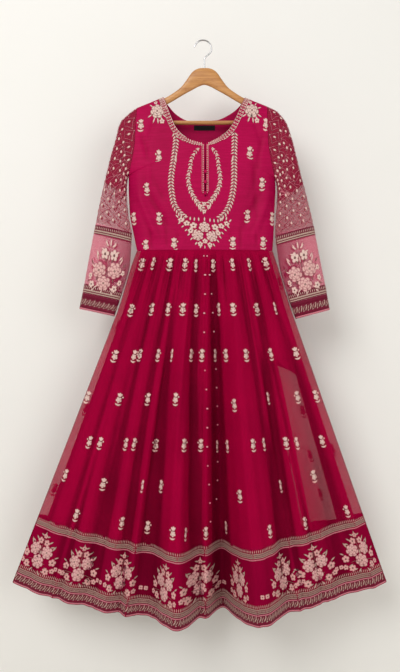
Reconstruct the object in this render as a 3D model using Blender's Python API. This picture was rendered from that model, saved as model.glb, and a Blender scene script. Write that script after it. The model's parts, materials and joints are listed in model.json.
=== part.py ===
"""A long-sleeved maxi dress of raw silk and net, hanging on a wooden hanger with a wire hook.

The bearing point inside the hook is the origin, +Z is up and the front of the dress faces -Y. Every cloth
piece is a thin closed wall laid through rows of points. Lengths here are millimetres until a mesh is made.
"""

import math
from collections import namedtuple

import bpy
import numpy as np

METRES = 0.001
SEAM_GAP = 0.3
WAIST_GAP = 0.6

SILK_WALL = 1.2
NET_WALL = 1.0
LINING_WALL = 1.2
TRIM_WALL = 1.0
SHARP_ANGLE = math.radians(50)

# The skirt is a fan: its side edges and folds run from one point above the waist. A slope is the sideways
# run for each millimetre of drop below that point.
FAN_X, FAN_Z = 15.3, -89.2
WAIST_DROP = 446.0
SLOPE_LEFT, SLOPE_RIGHT = -0.388, 0.351
WAIST_SLOPE_LEFT, WAIST_SLOPE_RIGHT = -0.411, 0.362
HIP_DROP = 170.0
HEM_RADIUS_LEFT, HEM_RADIUS_RIGHT = 1384.0, 1366.0
HEM_PANEL_HEIGHT = 184.0
WAIST_FRONT_DEPTH, WAIST_BACK_DEPTH = 26.0, 22.0
HEM_FRONT_DEPTH, HEM_BACK_DEPTH = 22.0, 56.0
SIDE_ROUNDNESS = 0.8
FOLD_GROWTH = 0.8
GATHERS_ACROSS = 11
GATHER_DEPTH = 3.0
GATHER_PEAK, GATHER_END = 0.08, 0.40
LONGEST_DROP = 0.96 * HEM_RADIUS_LEFT
SIDE_TAPER = 0.12
SIDE_CROWDING = 0.28

# The lining hangs inside the net, narrower at its side edges, with one side left open from the hip down.
LINING_INSET_WAIST, LINING_INSET = 1.6, 3.4
LINING_SIDE_MARGIN = 0.05
LINING_DRAWN_FROM = 0.72
LINING_SHORTER = 8.0
OPEN_SIDE_TOP = 0.31
OPEN_SIDE_EDGES = (0.238, 0.305)
OPEN_SIDE_DRIFT = -0.020
OPEN_SIDE_MIDDLE, OPEN_SIDE_LEFT_REACH, OPEN_SIDE_RIGHT_REACH = 0.27, 0.09, 0.06

Fold = namedtuple("Fold", "name waist_slope hem_slope reach_left reach_right depth start")
FRONT_FOLDS = [
    Fold("left edge crest", -0.360, -0.335, 0.030, 0.035, -12, 0.10),
    Fold("left ripple", -0.310, -0.262, 0.030, 0.030, -14, 0.20),
    Fold("left inner ripple", -0.235, -0.190, 0.028, 0.025, -16, 0.12),
    Fold("left knife fold", -0.175, -0.150, 0.022, 0.020, -24, 0.08),
    Fold("left crest", -0.110, -0.058, 0.060, 0.055, -80, 0.00),
    Fold("pearl line valley", -0.075, -0.022, 0.022, 0.022, 14, 0.00),
    Fold("centre valley", 0.027, 0.026, 0.036, 0.028, 66, 0.00),
    Fold("right crest", 0.100, 0.092, 0.055, 0.090, -78, 0.00),
    Fold("right valley", 0.228, 0.137, 0.028, 0.028, 16, 0.00),
    Fold("right outer crest", 0.280, 0.182, 0.032, 0.036, -14, 0.08),
    Fold("right side valley", 0.320, 0.260, 0.045, 0.050, 20, 0.20),
]
BACK_FOLDS = [
    Fold("left edge roll", -0.310, -0.290, 0.040, 0.040, 24, 0.12),
    Fold("left crest", -0.205, -0.185, 0.045, 0.048, 46, 0.00),
    Fold("left inner crest", -0.085, -0.080, 0.050, 0.045, 56, 0.00),
    Fold("centre crest", 0.030, 0.028, 0.048, 0.048, 50, 0.00),
    Fold("right inner crest", 0.140, 0.130, 0.045, 0.050, 58, 0.00),
    Fold("right crest", 0.245, 0.235, 0.045, 0.042, 34, 0.08),
]

FRONT_COLUMNS, BACK_COLUMNS = 46, 34
SKIRT_ROWS = (0.03, 0.08, 0.17, 0.31, 0.48, 0.65)
OPEN_SIDE_ROW = 4
PANEL_ROWS = 3

# Rows of the bodice from shoulder down: where each row meets the armhole or side seam, and the neckline
# or centre line. One more row, the waist seam, follows the top of the skirt.
Row = namedtuple("Row", "left_x left_z right_x right_z")
OUTER_EDGE = [
    Row(-166.8, -170.8, 161.9, -167.0),
    Row(-167.4, -176.0, 162.1, -172.2),
    Row(-168.3, -193.0, 162.5, -190.0),
    Row(-169.6, -214.0, 163.2, -212.0),
    Row(-171.0, -240.0, 163.9, -239.0),
    Row(-172.6, -266.0, 165.0, -267.0),
    Row(-175.4, -288.0, 168.4, -291.0),
    Row(-180.0, -309.0, 173.0, -315.0),
    Row(-184.6, -328.0, 178.0, -335.0),
    Row(-188.2, -341.5, 181.6, -349.0),
    Row(-189.3, -347.0, 183.4, -354.6),
    Row(-189.2, -382.0, 184.4, -384.0),
    Row(-187.8, -415.0, 182.4, -417.0),
    Row(-185.6, -446.0, 180.9, -449.0),
    Row(-177.0, -491.0, 179.6, -493.0),
]
UNDERARM_ROW = 10
FRONT_NECK = [
    Row(-101.0, -144.1, 107.1, -145.3),
    Row(-98.6, -149.6, 104.6, -150.6),
    Row(-93.0, -164.5, 98.2, -164.0),
    Row(-86.0, -184.0, 89.6, -184.5),
    Row(-77.5, -206.5, 79.6, -206.5),
    Row(-68.6, -226.5, 68.6, -227.5),
    Row(-55.0, -243.5, 55.0, -242.5),
    Row(-40.0, -254.5, 40.0, -252.5),
    Row(-24.0, -262.2, 27.0, -260.2),
    Row(-7.6, -267.0, 17.0, -265.6),
    Row(4.0, -272.5, 7.0, -272.5),
    Row(4.0, -312.0, 7.0, -312.0),
    Row(4.0, -358.0, 7.0, -358.0),
    Row(4.0, -403.0, 7.0, -403.0),
    Row(4.0, -468.0, 7.0, -468.0),
]
SLIT_END_ROW = 13
BACK_NECK = [
    Row(-101.0, -144.1, 107.1, -145.3),
    Row(-98.0, -150.0, 104.0, -150.6),
    Row(-86.0, -164.5, 92.6, -163.6),
    Row(-68.8, -182.1, 74.5, -178.5),
    Row(-40.0, -197.5, 42.0, -194.5),
    Row(2.0, -201.0, 8.0, -200.6),
    Row(3.0, -228.0, 7.0, -228.0),
    Row(3.0, -256.0, 7.0, -256.0),
    Row(3.0, -284.0, 7.0, -284.0),
    Row(3.0, -308.0, 7.0, -308.0),
    Row(3.0, -330.0, 7.0, -330.0),
    Row(3.0, -366.0, 7.0, -366.0),
    Row(3.0, -400.0, 7.0, -400.0),
    Row(3.0, -436.0, 7.0, -436.0),
    Row(3.0, -486.0, 7.0, -486.0),
]
BACK_NECK_END_ROW = 5
SWELL_START_ROW = 5
OPEN_SWELL_POWER = 2.0
CLOSED_SWELL_POWER = 2.4
FRONT_DEPTHS = (0.75, 8.6, 14.0, 19.0, 23.0, 26.0, 28.0, 29.5, 31.0, 32.0, 33.0, 34.0, 33.0, 31.0, 28.5)
BACK_DEPTHS = (0.75, 8.6, 13.0, 17.0, 20.0, 22.0, 23.5, 24.5, 25.0, 25.5, 26.0, 26.0, 25.0, 24.0, 22.5)
ARMHOLE_DEPTH = 19.0
ARMHOLE_SQUARENESS = 2.5
BODICE_COLUMNS = 9

# Rings of each sleeve from the armhole to its hem: the outer and inner edge points and the half depth.
Ring = namedtuple("Ring", "outer_x outer_z inner_x inner_z depth")
LEFT_SLEEVE = [
    Ring(-193.8, -191.2, -192.4, -352.4, 19.5),
    Ring(-211.6, -211.6, -193.2, -359.5, 20.0),
    Ring(-222.4, -252.4, -193.8, -367.5, 20.0),
    Ring(-239.7, -313.6, -193.8, -381.0, 19.0),
    Ring(-257.5, -390.0, -192.8, -412.0, 17.0),
    Ring(-266.0, -430.0, -189.2, -448.0, 15.5),
    Ring(-272.8, -464.1, -181.2, -490.0, 14.5),
]
RIGHT_SLEEVE = [
    Ring(188.7, -181.0, 186.4, -360.0, 19.5),
    Ring(211.6, -209.1, 188.0, -367.2, 20.0),
    Ring(226.9, -252.4, 188.8, -375.0, 20.0),
    Ring(242.2, -313.6, 189.0, -388.0, 19.0),
    Ring(262.6, -393.0, 188.0, -414.0, 17.0),
    Ring(272.4, -432.0, 185.6, -450.0, 15.5),
    Ring(281.8, -471.7, 183.6, -490.9, 14.5),
]
LEFT_CUFF = [
    Ring(-272.9, -464.4, -181.2, -490.3, 14.5),
    Ring(-290.7, -556.0, -187.8, -579.0, 14.5),
    Ring(-302.6, -622.0, -206.0, -641.0, 15.0),
    Ring(-314.7, -683.4, -226.5, -702.3, 15.5),
]
RIGHT_CUFF = [
    Ring(281.9, -472.0, 183.6, -491.2, 14.5),
    Ring(298.3, -558.4, 195.8, -579.0, 14.5),
    Ring(311.5, -624.0, 214.0, -645.0, 15.0),
    Ring(322.6, -685.9, 236.5, -708.9, 15.5),
]
SLEEVE_LINING_INSET = 2.0
SLEEVE_LINING_RINGS = 5

NECK_BAND_WIDTH = 13.0
PLACKET_WIDTH = 7.6
TRIM_LIFT = 0.45
BUTTON_RADIUS = 4.6
BUTTON_HEIGHTS = (-341.7, -367.2, -395.2)
BUTTON_X = 5.5
BUTTON_FLATTENING = 0.62
LABEL_HALF_WIDTH, LABEL_TOP, LABEL_BOTTOM = 27.0, -209.0, -222.0
LABEL_X = 4.0

# Sections of the hanger's wood at distances from its middle, with its upper and lower edge heights.
Section = namedtuple("Section", "reach top low half_thickness")
WOOD_SECTIONS = [
    Section(0.0, -69.0, -112.0, 6.0),
    Section(16.0, -70.6, -117.0, 6.0),
    Section(31.0, -79.6, -125.0, 6.0),
    Section(46.0, -100.4, -133.0, 6.0),
    Section(60.0, -118.4, -141.0, 6.0),
    Section(80.0, -133.6, -153.0, 5.8),
    Section(102.0, -146.4, -165.0, 5.0),
    Section(135.0, -159.8, -179.0, 5.0),
    Section(166.0, -175.0, -192.0, 5.0),
    Section(184.0, -188.5, -200.0, 5.0),
    Section(187.0, -191.0, -216.0, 5.0),
    Section(196.0, -200.0, -215.0, 5.0),
    Section(203.0, -208.0, -213.0, 3.5),
]
WOOD_MIDDLE = 3.6
WOOD_SIDES = 12
WOOD_SQUARENESS = 0.85
BAR_RADIUS = 5.0
BAR_HEIGHT = -208.5
BAR_REACH = 184.4
HOOK_WIRE_RADIUS = 1.9
HOOK_BEND_RADIUS = 21.5
HOOK_STEM_TOP = -48.0
HOOK_TIP_ANGLE = 152.0
HOOK_TIP_LENGTH = 7.0
HOOK_JOIN_ANGLE = -18.0
HOOK_BEND_START_ANGLE = -8.0
HOOK_STEM_LIFT = 9.0
HOOK_JOIN_SWING = 10.0

MAGENTA_SILK = (0.42, 0.004, 0.07)
NET_MAGENTA = (0.40, 0.012, 0.07)
LINING_MAGENTA = (0.30, 0.002, 0.03)
SLEEVE_PINK = (0.45, 0.17, 0.18)
PANEL_WINE = (0.20, 0.004, 0.02)
EMBROIDERY = (0.72, 0.50, 0.46)
WOOD_TAN = (0.51, 0.22, 0.07)
CHROME = (0.72, 0.72, 0.72)
LABEL_BLACK = (0.02, 0.015, 0.02)


def finish(name, colour, roughness, metallic=0.0):
    """A Principled material with one colour."""
    material = bpy.data.materials.new(name)
    material.use_nodes = True
    shader = material.node_tree.nodes["Principled BSDF"]
    shader.inputs["Base Color"].default_value = (*colour, 1.0)
    shader.inputs["Roughness"].default_value = roughness
    shader.inputs["Metallic"].default_value = metallic
    return material


def show(name, points, faces, material):
    """A named smooth object from points in millimetres and faces."""
    mesh = bpy.data.meshes.new(name)
    mesh.from_pydata([tuple(point * METRES) for point in points], [], faces)
    mesh.materials.append(material)
    mesh.shade_smooth()
    mesh.set_sharp_from_angle(angle=SHARP_ANGLE)
    item = bpy.data.objects.new(name, mesh)
    bpy.context.scene.collection.objects.link(item)
    return item


def grid_normals(grid, ring):
    """Unit normals of a grid, facing a viewer who sees its columns run right and its rows run down."""
    padded = np.concatenate([grid[:, -1:], grid, grid[:, :1]], axis=1) if ring else grid
    across = np.gradient(padded, axis=1)
    if ring:
        across = across[:, 1:-1]
    down = np.gradient(grid, axis=0)
    normal = np.cross(down, across)
    length = np.linalg.norm(normal, axis=2, keepdims=True)
    return normal / np.maximum(length, 1e-9)


def wall(name, grid, thickness, material, ring=False, keep=None, offset=0.0, flip=False):
    """A cloth piece: a grid of points, thickened along its normals and closed round every edge.

    keep marks the cells that are cloth. offset moves the whole wall along the normals first.
    """
    rows, columns = grid.shape[:2]
    across = columns if ring else columns - 1
    normal = grid_normals(grid, ring) * (-1.0 if flip else 1.0)
    outer = grid + normal * (offset + thickness / 2)
    inner = grid + normal * (offset - thickness / 2)
    if keep is None:
        keep = np.ones((rows - 1, across), bool)
    points = np.concatenate([outer.reshape(-1, 3), inner.reshape(-1, 3)])
    back = rows * columns
    faces = []
    edges = set()
    for row in range(rows - 1):
        for column in range(across):
            if not keep[row, column]:
                continue
            following = (column + 1) % columns
            corners = (
                row * columns + column,
                (row + 1) * columns + column,
                (row + 1) * columns + following,
                row * columns + following,
            )
            for trio in ((0, 1, 2), (0, 2, 3)):
                first, second, third = (corners[corner] for corner in trio)
                faces.append((first, second, third))
                faces.append((third + back, second + back, first + back))
            edges.update(zip(corners, corners[1:] + corners[:1]))
    for first, second in sorted(edges):
        if (second, first) not in edges:
            faces.append((second, first, first + back, second + back))
    if flip:
        faces = [tuple(reversed(face)) for face in faces]
    used = sorted({corner for face in faces for corner in face})
    index = {corner: place for place, corner in enumerate(used)}
    faces = [tuple(index[corner] for corner in face) for face in faces]
    return show(name, points[used], faces, material)


def bell(distance, reach_left, reach_right):
    """A smooth bump that is 1 in its middle and 0 past its reach on either side."""
    reach = np.where(distance < 0, reach_left, reach_right)
    part = np.clip(np.abs(distance) / reach, 0, 1)
    return np.cos(part * math.pi / 2) ** 2


def ease(value):
    """Smooth rise from 0 to 1."""
    value = np.clip(value, 0, 1)
    return value * value * (3 - 2 * value)


def side_slopes(fall):
    """The skirt's left and right edge slopes at a fraction of the way from waist to hem."""
    drop = fall * (LONGEST_DROP - WAIST_DROP)
    settled = ease(drop / HIP_DROP)
    left = WAIST_SLOPE_LEFT + (SLOPE_LEFT - WAIST_SLOPE_LEFT) * settled
    right = WAIST_SLOPE_RIGHT + (SLOPE_RIGHT - WAIST_SLOPE_RIGHT) * settled
    return left, right


def hem_drop(slope, shorter=0.0):
    """How far below the fan point the hem lies on the line of a slope."""
    along = (slope - SLOPE_LEFT) / (SLOPE_RIGHT - SLOPE_LEFT)
    radius = HEM_RADIUS_LEFT + (HEM_RADIUS_RIGHT - HEM_RADIUS_LEFT) * along - shorter
    return radius / np.sqrt(1 + slope**2)


def panel_fall(slope):
    """The fraction of the way down at which the hem panel is sewn on."""
    low = hem_drop(slope)
    return (hem_drop(slope, HEM_PANEL_HEIGHT) - WAIST_DROP) / (low - WAIST_DROP)


def skirt_depth(place, gather_place, slope, fall, is_front):
    """How far a point of the skirt stands out from the side edges' plane, towards its own side."""
    folds = FRONT_FOLDS if is_front else BACK_FOLDS
    rounded = np.clip(1 - place**2, 0, 1) ** (SIDE_ROUNDNESS / 2)
    if is_front:
        base = WAIST_FRONT_DEPTH + (HEM_FRONT_DEPTH - WAIST_FRONT_DEPTH) * fall
    else:
        base = WAIST_BACK_DEPTH + (HEM_BACK_DEPTH - WAIST_BACK_DEPTH) * fall
    folded = np.zeros_like(slope)
    for fold in folds:
        middle = fold.waist_slope + (fold.hem_slope - fold.waist_slope) * fall
        grown = np.clip((fall - fold.start) / (1 - fold.start), 0, 1) ** FOLD_GROWTH
        outward = -fold.depth if is_front else fold.depth
        folded = folded + outward * grown * bell(slope - middle, fold.reach_left, fold.reach_right)
    rising = ease(fall / GATHER_PEAK) * (1 - ease((fall - GATHER_PEAK) / (GATHER_END - GATHER_PEAK)))
    gathers = GATHER_DEPTH * rising * np.cos(GATHERS_ACROSS * math.pi * gather_place)
    taper = np.clip((1 - np.abs(place)) / SIDE_TAPER, 0, 1)
    return base * rounded + (folded + gathers) * ease(taper)


def skirt_point(place, fall, is_front, margin=0.0, shorter=0.0, warp=0.0):
    """A point of the skirt. place runs from -1 at the left edge to 1 at the right edge."""
    left, right = side_slopes(fall)
    middle, half = (left + right) / 2, (right - left) / 2
    outermost = ease((np.abs(place) - LINING_DRAWN_FROM) / (1 - LINING_DRAWN_FROM))
    drawn_in = place - margin * np.sign(place) * outermost
    beside_open_side = middle + half * place - OPEN_SIDE_MIDDLE
    drift = warp * fall * bell(beside_open_side, OPEN_SIDE_LEFT_REACH, OPEN_SIDE_RIGHT_REACH)
    slope = middle + half * drawn_in + drift
    drop = WAIST_DROP + (hem_drop(slope, shorter) - WAIST_DROP) * fall
    across = (slope - middle) / half
    own_place = np.clip(across / (1 - margin), -1, 1)
    depth = skirt_depth(own_place, across, slope, fall, is_front)
    return np.array([FAN_X + slope * drop, -depth if is_front else depth, FAN_Z - drop])


def skirt_places(count):
    """Column places, a little closer together towards the side edges."""
    even = np.linspace(-1, 1, count + 1)
    return even * (1 - SIDE_CROWDING) + np.sin(even * math.pi / 2) * SIDE_CROWDING


def open_side_places(count):
    """Column places with one on each edge of the lining's open side."""
    places = skirt_places(count)
    left, right = side_slopes(OPEN_SIDE_TOP)
    for edge in OPEN_SIDE_EDGES:
        wanted = (edge - (left + right) / 2) / ((right - left) / 2)
        nearest = int(np.argmin(np.abs(places - wanted)))
        places[nearest] = wanted
    return places


def skirt_grid(falls, count, is_front, margin=0.0, shorter=0.0):
    """Rows of skirt points at each fall; a fall may be a number or a function of the slope."""
    places = open_side_places(count)
    grid = np.empty((len(falls), len(places), 3))
    for row, fall in enumerate(falls):
        for column, place in enumerate(places):
            level = fall(place) if callable(fall) else fall
            grid[row, column] = skirt_point(place, level, is_front, margin, shorter, OPEN_SIDE_DRIFT)
    return grid


def fall_above_panel(place):
    """The fall at which the hem panel starts, for a column's place."""
    slope = (SLOPE_LEFT + SLOPE_RIGHT) / 2 + (SLOPE_RIGHT - SLOPE_LEFT) / 2 * place
    return float(panel_fall(np.float64(slope)))


def make_skirt(net, panel, lining):
    """The net skirt and its hem panel, front and back, over the narrower lining with its open side."""
    length = hem_drop(np.float64(0.0)) - WAIST_DROP
    sewn = SEAM_GAP / 2 / length
    for is_front, side, count in ((True, "front", FRONT_COLUMNS), (False, "back", BACK_COLUMNS)):
        falls = [WAIST_GAP / length, *SKIRT_ROWS, lambda place: fall_above_panel(place) - sewn]
        grid = part_at_sides(skirt_grid(falls, count, is_front), is_front)
        wall(f"skirt_net_{side}", grid, NET_WALL, net, flip=not is_front)
        levels = [panel_level(row / PANEL_ROWS, sewn) for row in range(PANEL_ROWS + 1)]
        grid = part_at_sides(skirt_grid(levels, count, is_front), is_front)
        wall(f"hem_panel_{side}", grid, NET_WALL, panel, flip=not is_front)
        make_lining(side, count, is_front, lining, [WAIST_GAP / length, *SKIRT_ROWS, *levels])


def panel_level(part, sewn):
    """The fall of a row of the hem panel, from its top seam to the hem."""

    def level(place):
        start = fall_above_panel(place) + sewn
        return start + (1 - start) * part

    return level


def part_at_sides(grid, is_front):
    """Moves a panel's side edges off the side seam, so that front and back stay just apart."""
    direction = -1.0 if is_front else 1.0
    apart = grid.copy()
    apart[:, 0, 1] = direction * (NET_WALL / 2 + SEAM_GAP / 2)
    apart[:, -1, 1] = direction * (NET_WALL / 2 + SEAM_GAP / 2)
    return apart


def make_lining(side, count, is_front, material, falls):
    """One face of the skirt lining, missing below the hip between the two edges of its open side."""
    grid = skirt_grid(falls, count, is_front, LINING_SIDE_MARGIN, LINING_SHORTER)
    grid = part_at_sides(grid, is_front)
    inset = np.full(len(falls), LINING_INSET)
    inset[0] = LINING_INSET_WAIST
    normal = grid_normals(grid, False) * (1.0 if is_front else -1.0)
    edge = np.ones(grid.shape[1])
    edge[0] = edge[-1] = 0.0
    grid = grid - normal * inset[:, None, None] * edge[None, :, None]
    grid[:, 0, 0] += inset
    grid[:, -1, 0] -= inset
    places = open_side_places(count)
    left, right = side_slopes(OPEN_SIDE_TOP)
    slopes = (left + right) / 2 + (right - left) / 2 * places
    keep = np.ones((len(falls) - 1, len(places) - 1), bool)
    low, high = OPEN_SIDE_EDGES
    for column in range(len(places) - 1):
        middle = (slopes[column] + slopes[column + 1]) / 2
        if low < middle < high:
            keep[OPEN_SIDE_ROW:, column] = False
    wall(f"skirt_lining_{side}", grid, LINING_WALL, material, keep=keep, flip=not is_front)


def superellipse(part):
    """The armhole's half depth, 0 at its top and bottom and 1 between them."""
    return (1 - np.abs(2 * part - 1) ** ARMHOLE_SQUARENESS) ** (1 / ARMHOLE_SQUARENESS)


def armhole_part(row):
    """How far down the armhole a row of the bodice lies, from 0 at the shoulder to 1 at the underarm."""
    top, bottom = OUTER_EDGE[0].left_z, OUTER_EDGE[UNDERARM_ROW].left_z
    return (OUTER_EDGE[row].left_z - top) / (bottom - top)


def edge_depth(row):
    """How far the cloth stands from the side seams' plane at the armhole or side edge of a row."""
    resting = SILK_WALL / 2 + SEAM_GAP / 2
    if row >= UNDERARM_ROW:
        return resting
    return max(resting, ARMHOLE_DEPTH * superellipse(armhole_part(row)))


def bodice_grid(neck, depths, is_front):
    """Rows of bodice points, from the left side across the neck or centre line to the right side."""
    direction = -1.0 if is_front else 1.0
    half = np.linspace(0, 1, BODICE_COLUMNS)
    rows = []
    for number, (edge, inner) in enumerate(zip(OUTER_EDGE, neck)):
        resting = edge_depth(number)
        closed = ease((number - SWELL_START_ROW) / (UNDERARM_ROW - SWELL_START_ROW))
        open_swell = 1 - (1 - half) ** OPEN_SWELL_POWER
        closed_swell = np.sqrt(1 - (1 - half) ** CLOSED_SWELL_POWER)
        swell = open_swell + closed * (closed_swell - open_swell)
        depth = resting + (depths[number] - resting) * swell
        left = np.stack([
            edge.left_x + (inner.left_x - edge.left_x) * half,
            direction * depth,
            edge.left_z + (inner.left_z - edge.left_z) * half,
        ], axis=1)
        right = np.stack([
            edge.right_x + (inner.right_x - edge.right_x) * half,
            direction * depth,
            edge.right_z + (inner.right_z - edge.right_z) * half,
        ], axis=1)
        rows.append(np.concatenate([left, right[::-1]]))
    rows.append(waist_row(rows[-1], is_front))
    return np.array(rows)


def waist_row(row_above, is_front):
    """The waist seam: the top edge of the skirt under each column of the bodice."""
    left, right = WAIST_SLOPE_LEFT, WAIST_SLOPE_RIGHT
    reach = (row_above[:, 0] - row_above[0, 0]) / (row_above[-1, 0] - row_above[0, 0])
    points = []
    for along in reach:
        place = -1 + 2 * along
        points.append(skirt_point(np.float64(place), 0.0, is_front))
    points = np.array(points)
    direction = -1.0 if is_front else 1.0
    resting = SILK_WALL / 2 + SEAM_GAP / 2
    points[0, 1] = points[-1, 1] = direction * resting
    return points


def make_bodice(silk):
    """Front with its neck slit, and back with its higher neckline; returns both grids."""
    grids = {}
    sides = (
        ("front", FRONT_NECK, FRONT_DEPTHS, True, SLIT_END_ROW),
        ("back", BACK_NECK, BACK_DEPTHS, False, BACK_NECK_END_ROW),
    )
    for side, neck, depths, is_front, joined_from in sides:
        grid = bodice_grid(neck, depths, is_front)
        keep = np.ones((len(grid) - 1, grid.shape[1] - 1), bool)
        keep[:joined_from, BODICE_COLUMNS - 1] = False
        wall(f"bodice_{side}", grid, SILK_WALL, silk, keep=keep, flip=not is_front)
        grids[side] = grid
    return grids


def sleeve_ring(ring, parts):
    """Points round a sleeve: down its front from the outer edge, then up its back."""
    outer = np.array([ring.outer_x, 0.0, ring.outer_z])
    inner = np.array([ring.inner_x, 0.0, ring.inner_z])
    points = []
    for part in parts:
        points.append(outer + (inner - outer) * part + np.array([0, -ring.depth * superellipse(part), 0]))
    for part in parts[-2:0:-1]:
        points.append(outer + (inner - outer) * part + np.array([0, ring.depth * superellipse(part), 0]))
    return points


def armhole_ring(is_left):
    """The sleeve's first ring, a seam's gap outside the edges of the bodice's armhole."""
    outward = -1.0 if is_left else 1.0
    front = []
    for row in range(UNDERARM_ROW + 1):
        edge = OUTER_EDGE[row]
        x, z = (edge.left_x, edge.left_z) if is_left else (edge.right_x, edge.right_z)
        depth = 0.0 if row in (0, UNDERARM_ROW) else edge_depth(row)
        front.append(np.array([x + outward * (SEAM_GAP + NET_WALL / 2), -depth, z]))
    mirrored = [point * np.array([1, -1, 1]) for point in front[-2:0:-1]]
    return front + mirrored


def make_sleeves(net, panel, lining):
    """Each net sleeve with its short lining and its deep cuff panel."""
    parts = [armhole_part(row) for row in range(UNDERARM_ROW + 1)]
    for side, rings, cuff in (("left", LEFT_SLEEVE, LEFT_CUFF), ("right", RIGHT_SLEEVE, RIGHT_CUFF)):
        is_left = side == "left"
        grid = np.array([armhole_ring(is_left)] + [sleeve_ring(ring, parts) for ring in rings])
        wall(f"sleeve_{side}", grid, NET_WALL, net, ring=True, flip=not is_left)
        short = grid[: SLEEVE_LINING_RINGS + 1]
        wall(f"sleeve_lining_{side}", short, LINING_WALL, lining, ring=True,
             offset=-SLEEVE_LINING_INSET, flip=not is_left)
        grid = np.array([sleeve_ring(ring, parts) for ring in cuff])
        wall(f"cuff_{side}", grid, NET_WALL, panel, ring=True, flip=not is_left)


def strip_on(grid, rows, columns, width, name, material):
    """A narrow strip that lies on the panel beside its inner edge, made from the panel's own points."""
    strip = []
    for row in rows:
        edge, next_column = grid[row, columns[0]], grid[row, columns[1]]
        along = next_column - edge
        reach = width / np.linalg.norm(along)
        strip.append([edge + along * reach * part for part in (0.0, 0.5, 1.0)])
    strip = np.array(strip)
    towards_right = columns[1] > columns[0]
    wall(name, strip, TRIM_WALL, material,
         offset=SILK_WALL / 2 + TRIM_LIFT + TRIM_WALL / 2, flip=not towards_right)


def make_trims(front, back, embroidery, silk, label):
    """Neck bands, placket bands and buttons on the front, and the bare label inside the back."""
    left, right = BODICE_COLUMNS - 1, BODICE_COLUMNS
    neck_rows = range(0, UNDERARM_ROW)
    strip_on(front, neck_rows, (left, left - 1), NECK_BAND_WIDTH, "neck_band_left", embroidery)
    strip_on(front, neck_rows, (right, right + 1), NECK_BAND_WIDTH, "neck_band_right", embroidery)
    slit_rows = range(UNDERARM_ROW, SLIT_END_ROW + 1)
    strip_on(front, slit_rows, (left, left - 1), PLACKET_WIDTH, "placket_left", embroidery)
    strip_on(front, slit_rows, (right, right + 1), PLACKET_WIDTH, "placket_right", embroidery)
    centre = front[:, left]
    for number, height in enumerate(BUTTON_HEIGHTS):
        depth = np.interp(-height, -centre[:, 2], centre[:, 1])
        seat = SILK_WALL / 2 + TRIM_LIFT + TRIM_WALL + SEAM_GAP + BUTTON_RADIUS * BUTTON_FLATTENING
        make_button(f"button_{number + 1}", BUTTON_X, depth - seat, height, silk)
    grid = []
    for height in (LABEL_TOP, (LABEL_TOP + LABEL_BOTTOM) / 2, LABEL_BOTTOM):
        across = LABEL_X + np.linspace(-LABEL_HALF_WIDTH, LABEL_HALF_WIDTH, 7)
        grid.append([[x, depth_on(back, x, height), height] for x in across])
    inside = -(SILK_WALL / 2 + TRIM_LIFT + TRIM_WALL / 2)
    wall("neck_label", np.array(grid), TRIM_WALL, label, offset=inside, flip=True)


def depth_on(grid, x, z):
    """The depth of a panel at a place seen from the front, read from the cell that holds it."""
    place = np.array([x, z])
    for row in range(grid.shape[0] - 1):
        for column in range(grid.shape[1] - 1):
            upper, lower = grid[row], grid[row + 1]
            corners = (upper[column], lower[column], lower[column + 1], upper[column + 1])
            for trio in ((0, 1, 2), (0, 2, 3)):
                first, second, third = (corners[corner] for corner in trio)
                sides = np.array([(second - first)[[0, 2]], (third - first)[[0, 2]]]).T
                if abs(np.linalg.det(sides)) < 1e-6:
                    continue
                part = np.linalg.solve(sides, place - first[[0, 2]])
                if part.min() >= 0 and part.sum() <= 1:
                    return first[1] + part[0] * (second - first)[1] + part[1] * (third - first)[1]
    raise ValueError(f"no cell of the panel holds {x}, {z}")


def make_button(name, x, y, z, material):
    """A covered ball button, a little flattened towards the cloth."""
    bpy.ops.mesh.primitive_uv_sphere_add(segments=12, ring_count=8, radius=BUTTON_RADIUS * METRES)
    button = bpy.context.object
    button.name = name
    button.data.transform(((1, 0, 0, 0), (0, BUTTON_FLATTENING, 0, 0), (0, 0, 1, 0), (0, 0, 0, 1)))
    button.location = (x * METRES, y * METRES, z * METRES)
    button.data.materials.append(material)
    button.data.shade_smooth()


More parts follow.
